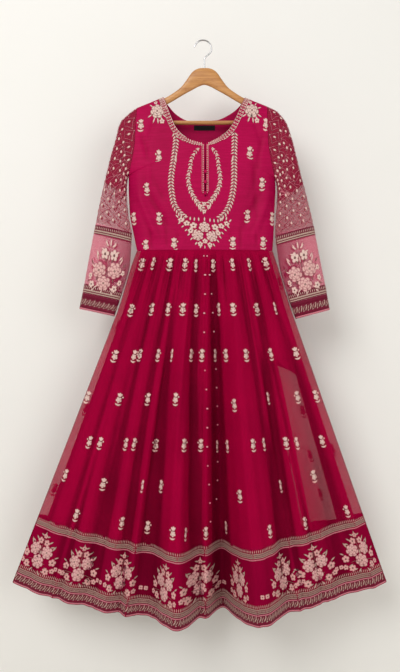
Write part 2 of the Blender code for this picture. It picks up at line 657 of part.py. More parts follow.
def make_hanger(wood, chrome):
    """Arched wooden arms, the round bar between their ends, and the bent wire hook."""
    sections = [(-section.reach, section) for section in reversed(WOOD_SECTIONS[1:])]
    sections += [(section.reach, section) for section in WOOD_SECTIONS]
    angles = np.linspace(0, 2 * math.pi, WOOD_SIDES, endpoint=False)
    points = []
    for reach, section in sections:
        middle, half = (section.top + section.low) / 2, (section.top - section.low) / 2
        for angle in angles:
            wide = math.copysign(abs(math.cos(angle)) ** WOOD_SQUARENESS, math.cos(angle))
            high = math.copysign(abs(math.sin(angle)) ** WOOD_SQUARENESS, math.sin(angle))
            points.append((WOOD_MIDDLE + reach, section.half_thickness * wide, middle + half * high))
    faces = [tuple(range(WOOD_SIDES))[::-1]]
    for ring in range(len(sections) - 1):
        for corner in range(WOOD_SIDES):
            first = ring * WOOD_SIDES + corner
            second = ring * WOOD_SIDES + (corner + 1) % WOOD_SIDES
            faces.append((first, second, second + WOOD_SIDES, first + WOOD_SIDES))
    last = (len(sections) - 1) * WOOD_SIDES
    faces.append(tuple(range(last, last + WOOD_SIDES)))
    show("hanger_wood", np.array(points), faces, wood)

    length = 2 * BAR_REACH * METRES
    bpy.ops.mesh.primitive_cylinder_add(vertices=16, radius=BAR_RADIUS * METRES, depth=length)
    bar = bpy.context.object
    bar.name = "hanger_bar"
    bar.rotation_euler = (0, math.pi / 2, 0)
    bar.location = (WOOD_MIDDLE * METRES, 0, BAR_HEIGHT * METRES)
    bar.data.materials.append(wood)
    bar.data.shade_smooth()
    bar.data.set_sharp_from_angle(angle=SHARP_ANGLE)

    wire = bpy.data.curves.new("hanger_hook", "CURVE")
    wire.dimensions = "3D"
    wire.bevel_depth = HOOK_WIRE_RADIUS * METRES
    wire.bevel_resolution = 2
    wire.use_fill_caps = True
    route = hook_route()
    spline = wire.splines.new("POLY")
    spline.points.add(len(route) - 1)
    for point, (x, z) in zip(spline.points, route):
        point.co = (x * METRES, 0, z * METRES, 1)
    wire.materials.append(chrome)
    hook = bpy.data.objects.new("hanger_hook", wire)
    bpy.context.scene.collection.objects.link(hook)


def hook_route():
    """The hook's wire, from the wood up its stem, over its round bend and out to its tip."""
    centre_z = HOOK_WIRE_RADIUS - HOOK_BEND_RADIUS
    stem_foot = WOOD_SECTIONS[0].top + SEAM_GAP
    route = [(WOOD_MIDDLE, stem_foot), (WOOD_MIDDLE, (stem_foot + HOOK_STEM_TOP) / 2)]
    join_angle = math.radians(HOOK_JOIN_ANGLE)
    start = np.array([WOOD_MIDDLE, HOOK_STEM_TOP])
    end = HOOK_BEND_RADIUS * np.array([math.cos(join_angle), math.sin(join_angle)])
    end = end + np.array([0, centre_z])
    lift = np.array([0, HOOK_STEM_LIFT])
    swing = HOOK_JOIN_SWING * np.array([math.sin(join_angle), -math.cos(join_angle)])
    for part in np.linspace(0, 1, 7):
        first = (1 - part) ** 3 * start + 3 * (1 - part) ** 2 * part * (start + lift)
        rest = 3 * (1 - part) * part**2 * (end + swing) + part**3 * end
        route.append(tuple(first + rest))
    for angle in np.radians(np.linspace(HOOK_BEND_START_ANGLE, HOOK_TIP_ANGLE, 17)):
        x = HOOK_BEND_RADIUS * math.cos(angle)
        route.append((x, centre_z + HOOK_BEND_RADIUS * math.sin(angle)))
    tip = math.radians(HOOK_TIP_ANGLE)
    x, z = route[-1]
    route.append((x - HOOK_TIP_LENGTH * math.sin(tip), z + HOOK_TIP_LENGTH * math.cos(tip)))
    return route


def main():
    """Clears the scene and makes every piece of the dress and its hanger."""
    for item in list(bpy.data.objects):
        bpy.data.objects.remove(item)
    silk = finish("magenta raw silk", MAGENTA_SILK, 0.55)
    net = finish("magenta net", NET_MAGENTA, 0.7)
    lining = finish("magenta lining", LINING_MAGENTA, 0.6)
    sleeve_net = finish("dusty pink net", SLEEVE_PINK, 0.7)
    panel = finish("wine hem panel", PANEL_WINE, 0.7)
    embroidery = finish("blush embroidery", EMBROIDERY, 0.6)
    label = finish("black label", LABEL_BLACK, 0.6)
    wood = finish("beech", WOOD_TAN, 0.45)
    chrome = finish("chrome wire", CHROME, 0.2, 1.0)
    make_hanger(wood, chrome)
    make_skirt(net, panel, lining)
    grids = make_bodice(silk)
    make_sleeves(sleeve_net, panel, lining)
    make_trims(grids["front"], grids["back"], embroidery, silk, label)


main()
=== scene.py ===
"""A maxi dress of raw silk and embroidered net on a wooden hanger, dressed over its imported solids.

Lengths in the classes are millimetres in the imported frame: +Z up, the front of the dress faces -Y, and the
bearing point inside the hook is the origin. They turn to metres where a mesh is made.
"""

import json
import logging
import math
from dataclasses import dataclass, field
from enum import Enum
from typing import Any, Callable

import bmesh
import bpy
import numpy as np
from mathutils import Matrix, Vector

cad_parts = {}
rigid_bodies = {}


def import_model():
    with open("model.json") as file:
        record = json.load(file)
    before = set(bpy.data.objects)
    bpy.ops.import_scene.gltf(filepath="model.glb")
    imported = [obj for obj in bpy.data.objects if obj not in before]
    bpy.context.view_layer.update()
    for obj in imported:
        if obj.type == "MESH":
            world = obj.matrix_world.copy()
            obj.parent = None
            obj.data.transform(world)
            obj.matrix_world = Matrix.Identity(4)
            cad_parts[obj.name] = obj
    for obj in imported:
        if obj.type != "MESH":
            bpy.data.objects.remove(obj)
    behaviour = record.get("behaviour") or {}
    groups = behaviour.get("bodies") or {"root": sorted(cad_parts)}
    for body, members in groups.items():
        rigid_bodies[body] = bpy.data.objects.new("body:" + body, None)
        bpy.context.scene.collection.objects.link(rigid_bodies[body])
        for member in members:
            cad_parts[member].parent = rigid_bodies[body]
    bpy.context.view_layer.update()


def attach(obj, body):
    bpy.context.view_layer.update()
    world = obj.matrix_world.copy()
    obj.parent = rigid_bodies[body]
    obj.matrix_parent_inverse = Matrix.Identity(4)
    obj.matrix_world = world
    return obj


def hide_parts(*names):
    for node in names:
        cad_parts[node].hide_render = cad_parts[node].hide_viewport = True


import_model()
METRES = 0.001
WAVE_RATE = 20  # radians that Blender's wave texture turns for each unit of its scale
LOG = logging.getLogger("maxi_dress")


def linear(code: str) -> tuple[float, float, float, float]:
    """Turns an sRGB hex colour to linear light.

    Args:
        code: six hex digits.

    Returns:
        Red, green, blue and alpha, each from 0 to 1.
    """
    parts = [int(code[place : place + 2], 16) / 255 for place in (0, 2, 4)]
    red, green, blue = (part / 12.92 if part <= 0.04045 else ((part + 0.055) / 1.055) ** 2.4 for part in parts)
    return red, green, blue, 1.0


def ease(value: np.ndarray) -> np.ndarray:
    """Smooth rise from 0 to 1."""
    value = np.clip(value, 0, 1)
    return value * value * (3 - 2 * value)


def bell(distance: np.ndarray, reach_left: float, reach_right: float) -> np.ndarray:
    """A smooth bump that is 1 in its middle and 0 past its reach on either side.

    Args:
        distance: signed distance from the middle.
        reach_left: reach on the negative side.
        reach_right: reach on the positive side.

    Returns:
        The bump's height at each distance.
    """
    part = np.clip(np.abs(distance) / np.where(distance < 0, reach_left, reach_right), 0, 1)
    return np.cos(part * math.pi / 2) ** 2


def resample(grid: np.ndarray, places: np.ndarray, axis: int) -> np.ndarray:
    """Reads a grid at places between its rows or columns, along smooth curves through them.

    Args:
        grid: the values, such as points.
        places: positions along the axis, counted in its steps.
        axis: the axis that is read more finely.

    Returns:
        The grid with one entry for each place along that axis.
    """
    data = np.moveaxis(grid, axis, 0)
    padded = np.concatenate([2 * data[:1] - data[1:2], data, 2 * data[-1:] - data[-2:-1]])
    cell = np.clip(np.floor(places).astype(int), 0, len(data) - 2)
    part = (places - cell).reshape((-1,) + (1,) * (data.ndim - 1))
    before, start, end, after = (padded[cell + step] for step in range(4))
    smooth = 2 * start + (end - before) * part
    smooth = smooth + (2 * before - 5 * start + 4 * end - after) * part**2
    smooth = smooth + (3 * start - before - 3 * end + after) * part**3
    return np.moveaxis(smooth / 2, 0, axis)


def linked(name: str, mesh: bpy.types.Mesh) -> bpy.types.Object:
    """A new object of a mesh, in the scene."""
    item = bpy.data.objects.new(name, mesh)
    bpy.context.scene.collection.objects.link(item)
    return item


class Side(Enum):
    """Which way a flat cloth piece faces."""

    FRONT = -1.0
    BACK = 1.0


class Upright(Enum):
    """Which way a motif stands on its cloth."""

    ALONG_CLOTH = "along the piece, towards its top"
    PLUMB = "straight up"


class Tone(Enum):
    """Thread and cloth colours, as sRGB hex."""

    CREAM = "F0D0C6"
    PETAL = "EFBDB8"
    BLUSH = "EBB1AC"
    ROSE = "CF7082"
    STONE = "CBAB9E"
    TAUPE = "8E655F"
    SHADE = "7C1434"
    CORAL = "E08494"


@dataclass(frozen=True)
class Lens:
    """The camera that the photograph was taken with, facing the dress squarely."""

    distance: float = 1800.0
    centre_x: float = -7.65
    centre_z: float = -752.25
    hook_x: float = 203.0
    hook_y: float = 41.0
    pixel: float = 2.55
    width: int = 400
    height: int = 672
    sensor: float = 36.0

    def project(self, points: np.ndarray) -> np.ndarray:
        """Photo pixels of points in millimetres."""
        nearer = self.distance / (self.distance + points[..., 1])
        across = self.width / 2 + (points[..., 0] - self.centre_x) / self.pixel * nearer
        down = self.height / 2 - (points[..., 2] - self.centre_z) / self.pixel * nearer
        return np.stack([across, down], axis=-1)

    def flat(self, spot: "Spot") -> np.ndarray:
        """A pixel's place across and its height, at the plane of the hanger."""
        return np.array([(spot.x - self.hook_x) * self.pixel, (self.hook_y - spot.y) * self.pixel])

    def set_up(self) -> None:
        """Makes the camera and sets it as the scene's own."""
        data = bpy.data.cameras.new("camera")
        data.sensor_fit = "VERTICAL"
        data.sensor_height = self.sensor
        data.lens = self.sensor * self.distance / (self.height * self.pixel)
        data.clip_end = 30.0
        camera = bpy.data.objects.new("camera", data)
        bpy.context.scene.collection.objects.link(camera)
        camera.location = (self.centre_x * METRES, -self.distance * METRES, self.centre_z * METRES)
        camera.rotation_euler = (math.pi / 2, 0, 0)
        bpy.context.scene.camera = camera


LENS = Lens()


@dataclass(frozen=True)
class Spot:
    """A place in the photograph, in pixels from its upper left corner."""

    x: float
    y: float


# ---- finishes


def socket_of(sockets: Any, key: str | int) -> Any:
    """The socket with a number, or the one in use with a name."""
    if isinstance(key, int):
        return sockets[key]
    return next(socket for socket in sockets if socket.name == key and socket.enabled)


def add_node(tree: bpy.types.NodeTree, kind: str, settings: dict[Any, Any], links: dict[Any, Any]) -> Any:
    """Adds one node with its settings and links.

    Args:
        tree: the node tree.
        kind: the node's type.
        settings: property names, or input names or numbers, with their values.
        links: input names or numbers with the output sockets that feed them.

    Returns:
        The node.
    """
    node = tree.nodes.new(kind)
    properties = [key for key in settings if isinstance(key, str) and key in node.bl_rna.properties]
    for key in properties:
        setattr(node, key, settings[key])
    for key in settings:
        if key not in properties:
            socket_of(node.inputs, key).default_value = settings[key]
    for key, socket in links.items():
        tree.links.new(socket, socket_of(node.inputs, key))
    return node


@dataclass(frozen=True)
class Surface:
    """One material's node tree and Principled shader, with the steps that the finishes' patterns share."""

    tree: bpy.types.NodeTree
    shader: Any

    def place(self) -> Any:
        """The object's own coordinates."""
        return add_node(self.tree, "ShaderNodeTexCoord", {}, {}).outputs["Object"]

    def stretched(self, scale: tuple[float, float, float]) -> Any:
        """The object's own coordinates, scaled on each axis."""
        return add_node(self.tree, "ShaderNodeMapping", {"Scale": scale}, {"Vector": self.place()}).outputs[0]

    def cloud(self, place: Any, scale: float, detail: float, distortion: float = 0.0) -> Any:
        """Soft noise at a place."""
        settings = {"Scale": scale, "Detail": detail, "Distortion": distortion}
        return add_node(self.tree, "ShaderNodeTexNoise", settings, {"Vector": place}).outputs[0]

    def threads(self, direction: str, pitch: float, distortion: float) -> Any:
        """Bands that repeat at a pitch in metres."""
        settings = {"bands_direction": direction, "Scale": 2 * math.pi / pitch / WAVE_RATE, "Distortion": distortion}
        return add_node(self.tree, "ShaderNodeTexWave", settings, {"Vector": self.place()}).outputs[1]

    def ramp(self, value: Any, low: float, high: float, most: float = 1.0, least: float = 0.0) -> Any:
        """A rise from least to most while a value goes from low to high."""
        settings = {"From Min": low, "From Max": high, "To Min": least, "To Max": most}
        return add_node(self.tree, "ShaderNodeMapRange", settings, {"Value": value}).outputs[0]

    def together(self, first: Any, second: Any) -> Any:
        """The sum of two values, kept from 0 to 1."""
        settings = {"operation": "ADD", "use_clamp": True}
        return add_node(self.tree, "ShaderNodeMath", settings, {0: first, 1: second}).outputs[0]

    def hollows(self, start: float, most: float) -> Any:
        """How much painted shade darkens the colour in the hollows of folds."""
        gather = add_node(self.tree, "ShaderNodeAttribute", {"attribute_name": "gather"}, {})
        return self.ramp(gather.outputs[2], start, 1.0, most)

    def blend(self, first: Any, second: str, amount: Any) -> Any:
        """A colour between two.

        Args:
            first: a hex colour, or a colour's output socket.
            second: a hex colour.
            amount: the output socket that says how much of the second colour shows.

        Returns:
            The colour's output socket.
        """
        settings, links = {"data_type": "RGBA", 7: linear(second)}, {0: amount}
        if isinstance(first, str):
            settings[6] = linear(first)
        else:
            links[6] = first
        return add_node(self.tree, "ShaderNodeMix", settings, links).outputs[2]

    def paint(self, colour: Any, height: Any, strength: float, depth: float) -> None:
        """Gives the shader its colour, and raises the surface by a height pattern.

        Args:
            colour: the colour's output socket.
            height: the pattern's output socket.
            strength: the bump's strength.
            depth: the pattern's full height in metres.
        """
        self.tree.links.new(colour, self.shader.inputs["Base Color"])
        bump = add_node(self.tree, "ShaderNodeBump", {"Strength": strength, "Distance": depth}, {"Height": height})
        self.tree.links.new(bump.outputs["Normal"], self.shader.inputs["Normal"])


@dataclass(frozen=True)
class Finish:
    """A finish on Blender's Principled shader; each kind adds its own pattern."""

    name: str
    shade: str
    roughness: float = 0.6
    sheen: float = 0.0
    sheen_roughness: float = 0.4
    alpha: float = 1.0
    metallic: float = 0.0
    gloss: float = 0.15

    def make(self) -> bpy.types.Material:
        """Makes the material, with its uniform values on the shader's own sockets."""
        material = bpy.data.materials.new(self.name)
        material.use_nodes = True
        shader = material.node_tree.nodes["Principled BSDF"]
        values = {
            "Base Color": linear(self.shade), "Roughness": self.roughness, "Metallic": self.metallic,
            "Sheen Weight": self.sheen, "Sheen Roughness": self.sheen_roughness, "Specular IOR Level": self.gloss,
            "Alpha": self.alpha,
        }
        for socket, value in values.items():
            shader.inputs[socket].default_value = value
        self.pattern(Surface(material.node_tree, shader))
        return material

    def pattern(self, surface: Surface) -> None:
        """Adds the finish's own nodes; a plain finish has none."""


@dataclass(frozen=True)
class RawSilk(Finish):
    """Raw silk, plain woven from uneven filament: short slubs run across, over a soft low lustre.

    The threads are 0.5 mm apart on the real cloth and are drawn at 1.1 mm, so that they show.
    """

    slub: str = "B4044C"
    # A deeper colour for random patches, and for the painted shade in the hollows of folds.
    deep: str = "7E002C"
    thread: float = 0.0011
    slub_scale: tuple[float, float, float] = (26, 26, 420)

    def pattern(self, surface: Surface) -> None:
        """Slubs and random deeper patches in the colour, painted shade in the hollows of folds, and crossed threads in
        the bump.
        """
        slubs = surface.cloud(surface.stretched(self.slub_scale), 1.0, 3.0)
        slubbed = surface.blend(self.shade, self.slub, surface.ramp(slubs, 0.42, 0.66))
        faded = surface.ramp(surface.cloud(surface.place(), 7.0, 2.0), 0.35, 0.7, 0.3)
        colour = surface.blend(slubbed, self.deep, surface.together(faded, surface.hollows(0.45, 0.45)))
        warp, weft = surface.threads("X", self.thread, 0.6), surface.threads("Z", self.thread, 1.5)
        woven = add_node(surface.tree, "ShaderNodeMath", {"operation": "MAXIMUM"}, {0: warp, 1: weft})
        height = add_node(surface.tree, "ShaderNodeMath", {"operation": "ADD"}, {0: woven.outputs[0], 1: slubs})
        surface.paint(colour, height.outputs[0], 0.25, 0.0002)


@dataclass(frozen=True)
class Net(Finish):
    """Fine hexagonal net: most of it is holes, so what lies behind shows through its thread.

    The holes are 0.7 mm on the real net and the mesh is drawn at 1.6 mm, so that it shows.
    """

    # The second dye: for random patches, for the fade where there is one, and as painted shade in the hollows of folds.
    second: str = "5C0018"
    mesh: float = 0.0016
    deepest: float = 0.9
    fade_start: float = 0.15
    fade_across: float = 0.0
    fade_middle: float = 0.5

    def pattern(self, surface: Surface) -> None:
        """Cells of thread, random patches of the second dye, painted shade in the hollows of folds, and a fade between
        two dyes across the piece where it has one.
        """
        tree = surface.tree
        settings = {"feature": "DISTANCE_TO_EDGE", "Scale": 1 / self.mesh}
        cells = add_node(tree, "ShaderNodeTexVoronoi", settings, {"Vector": surface.place()})
        faded = surface.ramp(surface.cloud(surface.place(), 9.0, 3.0), 0.35, 0.7, 0.2)
        amount = surface.together(faded, surface.hollows(0.42, self.deepest))
        if self.fade_across:
            flat = add_node(tree, "ShaderNodeUVMap", {"uv_map": "pattern"}, {})
            split = add_node(tree, "ShaderNodeSeparateXYZ", {}, {0: flat.outputs[0]})
            settings = {"operation": "SUBTRACT", 1: self.fade_middle}
            away = add_node(tree, "ShaderNodeMath", settings, {0: split.outputs[0]})
            distance = add_node(tree, "ShaderNodeMath", {"operation": "ABSOLUTE"}, {0: away.outputs[0]})
            fade = surface.ramp(distance.outputs[0], self.fade_start, self.fade_across)
            amount = surface.together(fade, amount)
        surface.paint(surface.blend(self.shade, self.second, amount), cells.outputs[0], 0.04, 0.0001)


@dataclass(frozen=True)
class Satin(Finish):
    """Polyester satin lining: long floats give it a smooth, softly streaked lustre."""

    # The darker colour: for the streaks painted as lustre, and for the painted shade in the hollows of folds.
    deep: str = "56001A"
    streak_scale: tuple[float, float, float] = (240, 240, 9)

    def pattern(self, surface: Surface) -> None:
        """Long vertical streaks in colour, which are painted lustre, and in bump, with painted shade in the hollows of
        folds.
        """
        streak = surface.cloud(surface.stretched(self.streak_scale), 1.0, 2.0)
        settings = {"operation": "MULTIPLY_ADD", "use_clamp": True, 1: 0.5}
        links = {0: streak, 2: surface.hollows(0.4, 0.74)}
        amount = add_node(surface.tree, "ShaderNodeMath", settings, links)
        surface.paint(surface.blend(self.shade, self.deep, amount.outputs[0]), streak, 0.2, 0.0002)


@dataclass(frozen=True)
class Thread(Finish):
    """Rayon embroidery thread in satin stitch: each stitch lies beside the next and catches the light.

    Stitches are 0.4 mm apart on the real dress and are drawn at 0.9 mm, so that they show.
    """

    stitch: float = 0.0009
    shadow: float = 0.72

    def pattern(self, surface: Surface) -> None:
        """The motif's own thread colour, with painted shade between the stitches."""
        dyed = add_node(surface.tree, "ShaderNodeAttribute", {"attribute_name": "thread_colour"}, {})
        stitches = surface.threads("DIAGONAL", self.stitch, 2.0)
        settings = {"data_type": "RGBA", "blend_type": "MULTIPLY", 0: 1.0}
        links = {6: dyed.outputs[0], 7: surface.ramp(stitches, 0.0, 1.0, least=self.shadow)}
        tone = add_node(surface.tree, "ShaderNodeMix", settings, links)
        surface.paint(tone.outputs[2], stitches, 0.5, 0.0002)


@dataclass(frozen=True)
class Beech(Finish):
    """Lacquered beech: straight fine grain with short dark flecks under a clear satin lacquer."""

    grain: str = "A2642E"
    grain_scale: tuple[float, float, float] = (9, 160, 160)
    fleck_scale: tuple[float, float, float] = (60, 900, 900)
    coat: float = 0.35
    coat_roughness: float = 0.25

    def pattern(self, surface: Surface) -> None:
        """Grain that runs along the hanger, with flecks."""
        grain = surface.cloud(surface.stretched(self.grain_scale), 1.0, 5.0, 0.4)
        fleck = surface.cloud(surface.stretched(self.fleck_scale), 1.0, 1.0)
        amount = surface.together(surface.ramp(grain, 0.35, 0.68, 0.75), surface.ramp(fleck, 0.6, 0.72, 0.5))
        surface.paint(surface.blend(self.shade, self.grain, amount), grain, 0.1, 0.0003)
        surface.shader.inputs["Coat Weight"].default_value = self.coat
        surface.shader.inputs["Coat Roughness"].default_value = self.coat_roughness


@dataclass(frozen=True)
class Mottled(Finish):
    """A plain material whose colour varies a little, such as plated wire, pearls or plaster."""

    second: str = "FFFFFF"
    grain: float = 300.0
    raised: float = 0.0001

    def pattern(self, surface: Surface) -> None:
        """A soft cloud between two close colours, and a fine bump."""
        cloud = surface.cloud(surface.place(), self.grain, 3.0)
        surface.paint(surface.blend(self.shade, self.second, cloud), cloud, 0.1, self.raised)


@dataclass(frozen=True)
class Wardrobe:
    """Every finish of the dress and its hanger, made once."""

    silk: Finish = RawSilk("magenta raw silk", "AA0045", 0.55, gloss=0.08)
    # The nets' second dyes and the silk and satin deep tones also give painted shade in the hollows of folds.
    skirt_net: Finish = Net("magenta net", "BE0042", 0.85, alpha=0.38, deepest=0.5, gloss=0.03)
    sleeve_net: Finish = Net("wine pink net", "B43A54", 0.85, alpha=0.25, second="8E0A32", deepest=0.6, gloss=0.03)
    cuff_net: Finish = Net(
        "pink to magenta net", "E46C88", 0.85, alpha=0.32, second="AE0E4C", gloss=0.03, fade_across=0.45
    )
    hem_net: Finish = Net("wine hem net", "8A0030", 0.85, second="520018", deepest=0.55, gloss=0.03)
    lining: Finish = Satin("magenta satin lining", "B00042", 0.55, gloss=0.08)
    sleeve_lining: Finish = Satin("wine satin lining", "9A0038", 0.6, gloss=0.05)
    thread: Finish = Thread("satin stitch thread", "E3A9A6", 0.55, sheen=0.03, gloss=0.14)
    pearl: Finish = Mottled("pearl bead", "E9C6C4", 0.22, second="D79FA6", gloss=0.5)
    beech: Finish = Beech("lacquered beech", "CE9455", 0.42, gloss=0.5)
    plate: Finish = Mottled("chrome plated wire", "C9C9C9", 0.16, metallic=1.0, second="B4B4B6", gloss=0.5)
    label: Finish = Satin("black taffeta label", "1B1518", 0.55, deep="0C090B")
    wall: Finish = Mottled("painted plaster wall", "F4F3F0", 0.9, second="F1F0EC", grain=3.0)
    floor: Finish = Mottled("pale matt floor", "E9E5DC", 0.85, second="E5E0D6", grain=5.0)

    def make(self) -> dict[str, bpy.types.Material]:
        """Makes every material, by its field's name."""
        return {name: getattr(self, name).make() for name in self.__dataclass_fields__}


# ---- cloth


def weld(item: bpy.types.Object) -> None:
    """Joins the points of an object that lie on each other."""
    work = bmesh.new()
    work.from_mesh(item.data)
    bmesh.ops.remove_doubles(work, verts=work.verts, dist=1e-6)
    work.to_mesh(item.data)
    work.free()


# For the painted shade in the hollows of folds, for broad folds, then for small ones: the share of a row's columns that
# a hollow is measured over, the fewest columns, and the depth in millimetres that counts as full.
PAINTED_SHADE_SCALES = ((9, 2, 62.0), (34, 1, 5.5))
# A point fits a wanted place when it misses by this share of the least miss, and this much more. Of those that fit,
# the nearest to the camera is taken, and each unit of miss counts as so many millimetres of distance.
FIT_SHARE, FIT_SLACK, FIT_COST = 1.05, 1.2, 4.0
FIT_ROUNDS, FIT_REACH, FIT_STEP = 3, 1.5, 1e-3  # steps to the place itself, the cells that each may cross, its trial
PATH_STEPS, PATH_LOOK = 24, 3.0  # points between a path's corners, and the millimetres that give its direction
SHARP_CLOTH, SHARP_WOOD = math.radians(60), math.radians(40)  # edges stay sharp past these angles


@dataclass
class Chart:
    """A cloth piece as rows of points from its top down, with its columns running to the viewer's right."""

    name: str
    points: np.ndarray
    side: Side = Side.FRONT
    keep: np.ndarray | None = None
    tube: bool = False

    @property
    def facing(self) -> float:
        """1 where the piece faces the viewer's side and -1 where it faces away."""
        return 1.0 if self.side is Side.FRONT else -1.0

    def normals(self) -> np.ndarray:
        """Unit normals at every point, out of the piece's right side."""
        across, down = np.gradient(self.points, axis=1), np.gradient(self.points, axis=0)
        if self.tube:
            across[:, 0] = across[:, -1] = (self.points[:, 1] - self.points[:, -2]) / 2
        normal = np.cross(down, across) * self.facing
        return normal / np.maximum(np.linalg.norm(normal, axis=2, keepdims=True), 1e-9)

    def cells(self) -> np.ndarray:
        """The four corners of every kept cell, in the order that faces outwards."""
        rows, columns = self.points.shape[:2]
        keep = np.ones((rows - 1, columns - 1), bool) if self.keep is None else self.keep
        row, column = np.nonzero(keep)
        first = row * columns + column
        corners = np.stack([first, first + columns, first + columns + 1, first + 1], axis=1)
        return corners if self.side is Side.FRONT else corners[:, ::-1]

    def pattern(self) -> np.ndarray:
        """Each point's place in the flat pattern, from 0 to 1 both ways."""
        rows, columns = self.points.shape[:2]
        across, up = np.meshgrid(np.linspace(0, 1, columns), np.linspace(1, 0, rows))
        return np.stack([across, up], axis=2)

    def mesh_object(self, name: str, points: np.ndarray, faces: list, pattern: np.ndarray) -> bpy.types.Object:
        """An object from points in millimetres, faces and each point's place in the pattern.

        Args:
            name: the object's name.
            points: its points.
            faces: tuples of point numbers.
            pattern: a place in the pattern for each point.

        Returns:
            The linked object.
        """
        mesh = bpy.data.meshes.new(name)
        mesh.from_pydata((points * METRES).tolist(), [], faces)
        layer = mesh.uv_layers.new(name="pattern")
        corners = np.empty(len(mesh.loops), np.int32)
        mesh.loops.foreach_get("vertex_index", corners)
        layer.data.foreach_set("uv", pattern[corners].astype(np.float32).ravel())
        mesh.shade_smooth()
        return linked(name, mesh)

    def layer(self) -> bpy.types.Object:
        """The middle surface alone, which motifs are laid on."""
        places, pattern = self.points.reshape(-1, 3), self.pattern().reshape(-1, 2)
        item = self.mesh_object(f"layer_{self.name}", places, self.cells().tolist(), pattern)
        outward = item.data.attributes.new("outward", "FLOAT_VECTOR", "POINT")
        outward.data.foreach_set("vector", self.normals().astype(np.float32).ravel())
        return item

    def gather(self) -> np.ndarray:
        """How far each point lies in a fold's hollow, from 0 on a crest to 1 in a valley, which sets the painted shade
        there.
        """
        outward = self.points[..., 1] * self.side.value
        count = outward.shape[1]
        total = np.full(outward.shape, 0.5)
        for share, least, full in PAINTED_SHADE_SCALES:
            reach = max(count // share, least)
            padded = np.pad(outward, ((0, 0), (reach, reach)), "wrap" if self.tube else "edge")
            sums = np.cumsum(np.concatenate([np.zeros((len(padded), 1)), padded], axis=1), axis=1)
            mean = (sums[:, 2 * reach + 1 :] - sums[:, : -2 * reach - 1]) / (2 * reach + 1)
            total += (mean - outward) / full
        return np.clip(total, 0, 1)

    def shell(self, thickness: float, material: bpy.types.Material, offset: float = 0.0) -> bpy.types.Object:
        """The closed thin cloth, with its rim.

        Args:
            thickness: the cloth's thickness in millimetres.
            material: its finish.
            offset: how far it stands out along its normals first.

        Returns:
            The piece's object.
        """
        normal = self.normals()
        outer = (self.points + normal * (offset + thickness / 2)).reshape(-1, 3)
        inner = (self.points + normal * (offset - thickness / 2)).reshape(-1, 3)
        cells = self.cells()
        back = len(outer)
        edges = np.concatenate([cells[:, [side, (side + 1) % 4]] for side in range(4)]).astype(np.int64)
        joined = np.arange(back).reshape(self.points.shape[:2])
        if self.tube:
            joined[:, -1] = joined[:, 0]
        ends = joined.ravel()[edges]
        rim = edges[~np.isin(ends[:, 0] * back + ends[:, 1], ends[:, 1] * back + ends[:, 0])]
        rim_faces = np.stack([rim[:, 1], rim[:, 0], rim[:, 0] + back, rim[:, 1] + back], axis=1)
        faces = np.concatenate([cells, cells[:, ::-1] + back, rim_faces])
        used, numbers = np.unique(faces, return_inverse=True)
        places = np.concatenate([outer, inner])[used]
        pattern = np.tile(self.pattern().reshape(-1, 2), (2, 1))[used]
        item = self.mesh_object(self.name, places, numbers.reshape(faces.shape).tolist(), pattern)
        # Painted shade for the hollows of folds; the sleeves' tubes get none.
        gather = np.zeros(self.points.shape[:2]) if self.tube else self.gather()
        hollows = item.data.attributes.new("gather", "FLOAT", "POINT")
        hollows.data.foreach_set("value", np.tile(gather.ravel(), 2)[used].astype(np.float32))
        if self.tube:
            weld(item)
        item.data.set_sharp_from_angle(angle=SHARP_CLOTH)
        item.data.materials.append(material)
        return item

    def at(self, u: float, v: float) -> tuple[np.ndarray, np.ndarray, np.ndarray]:
        """The point at a place in the pattern, and how it moves with each of the pattern's axes."""
        rows, columns = self.points.shape[:2]
        column = min(max(u, 0.0), 1.0) * (columns - 1)
        row = (1 - min(max(v, 0.0), 1.0)) * (rows - 1)
        left, top = min(int(column), columns - 2), min(int(row), rows - 2)
        across, down = column - left, row - top
        upper = self.points[top, left] * (1 - across) + self.points[top, left + 1] * across
        lower = self.points[top + 1, left] * (1 - across) + self.points[top + 1, left + 1] * across
        first = self.points[top, left + 1] - self.points[top, left]
        second = self.points[top + 1, left + 1] - self.points[top + 1, left]
        rightward = (first * (1 - down) + second * down) * (columns - 1)
        upward = (upper - lower) * (rows - 1)
        return upper * (1 - down) + lower * down, rightward, upward

    def axes(self, u: float, v: float, upright: Upright) -> tuple[np.ndarray, ...]:
        """The motif's own axes at a place.

        Args:
            u: place across the pattern.
            v: place up the pattern.
            upright: which way the motif stands.

        Returns:
            The point, the unit directions across and up in space, and the two steps in the pattern for one
            millimetre across and up.
        """
        point, rightward, upward = self.at(u, v)
        normal = np.cross(rightward, upward) * self.facing
        normal = normal / np.linalg.norm(normal)
        wanted = upward if upright is Upright.ALONG_CLOTH else np.array([0.0, 0.0, 1.0])
        up = wanted - normal * np.dot(wanted, normal)
        up = up / np.linalg.norm(up)
        across = np.cross(up, normal)
        basis = np.stack([rightward, upward], axis=1)
        steps = np.linalg.lstsq(basis, np.stack([across, up], axis=1), rcond=None)[0]
        return point, across, up, steps[:, 0], steps[:, 1]

    def find(self, spot: Spot) -> tuple[float, float]:
        """The place in the pattern that the photograph shows at a pixel, on the nearest layer."""
        return self.seek(LENS.project, np.array([spot.x, spot.y]))

    def beneath(self, x: float, z: float) -> tuple[float, float]:
        """The place in the pattern at a distance across and a height, seen straight from the front."""
        return self.seek(lambda points: points[..., [0, 2]], np.array([x, z]))

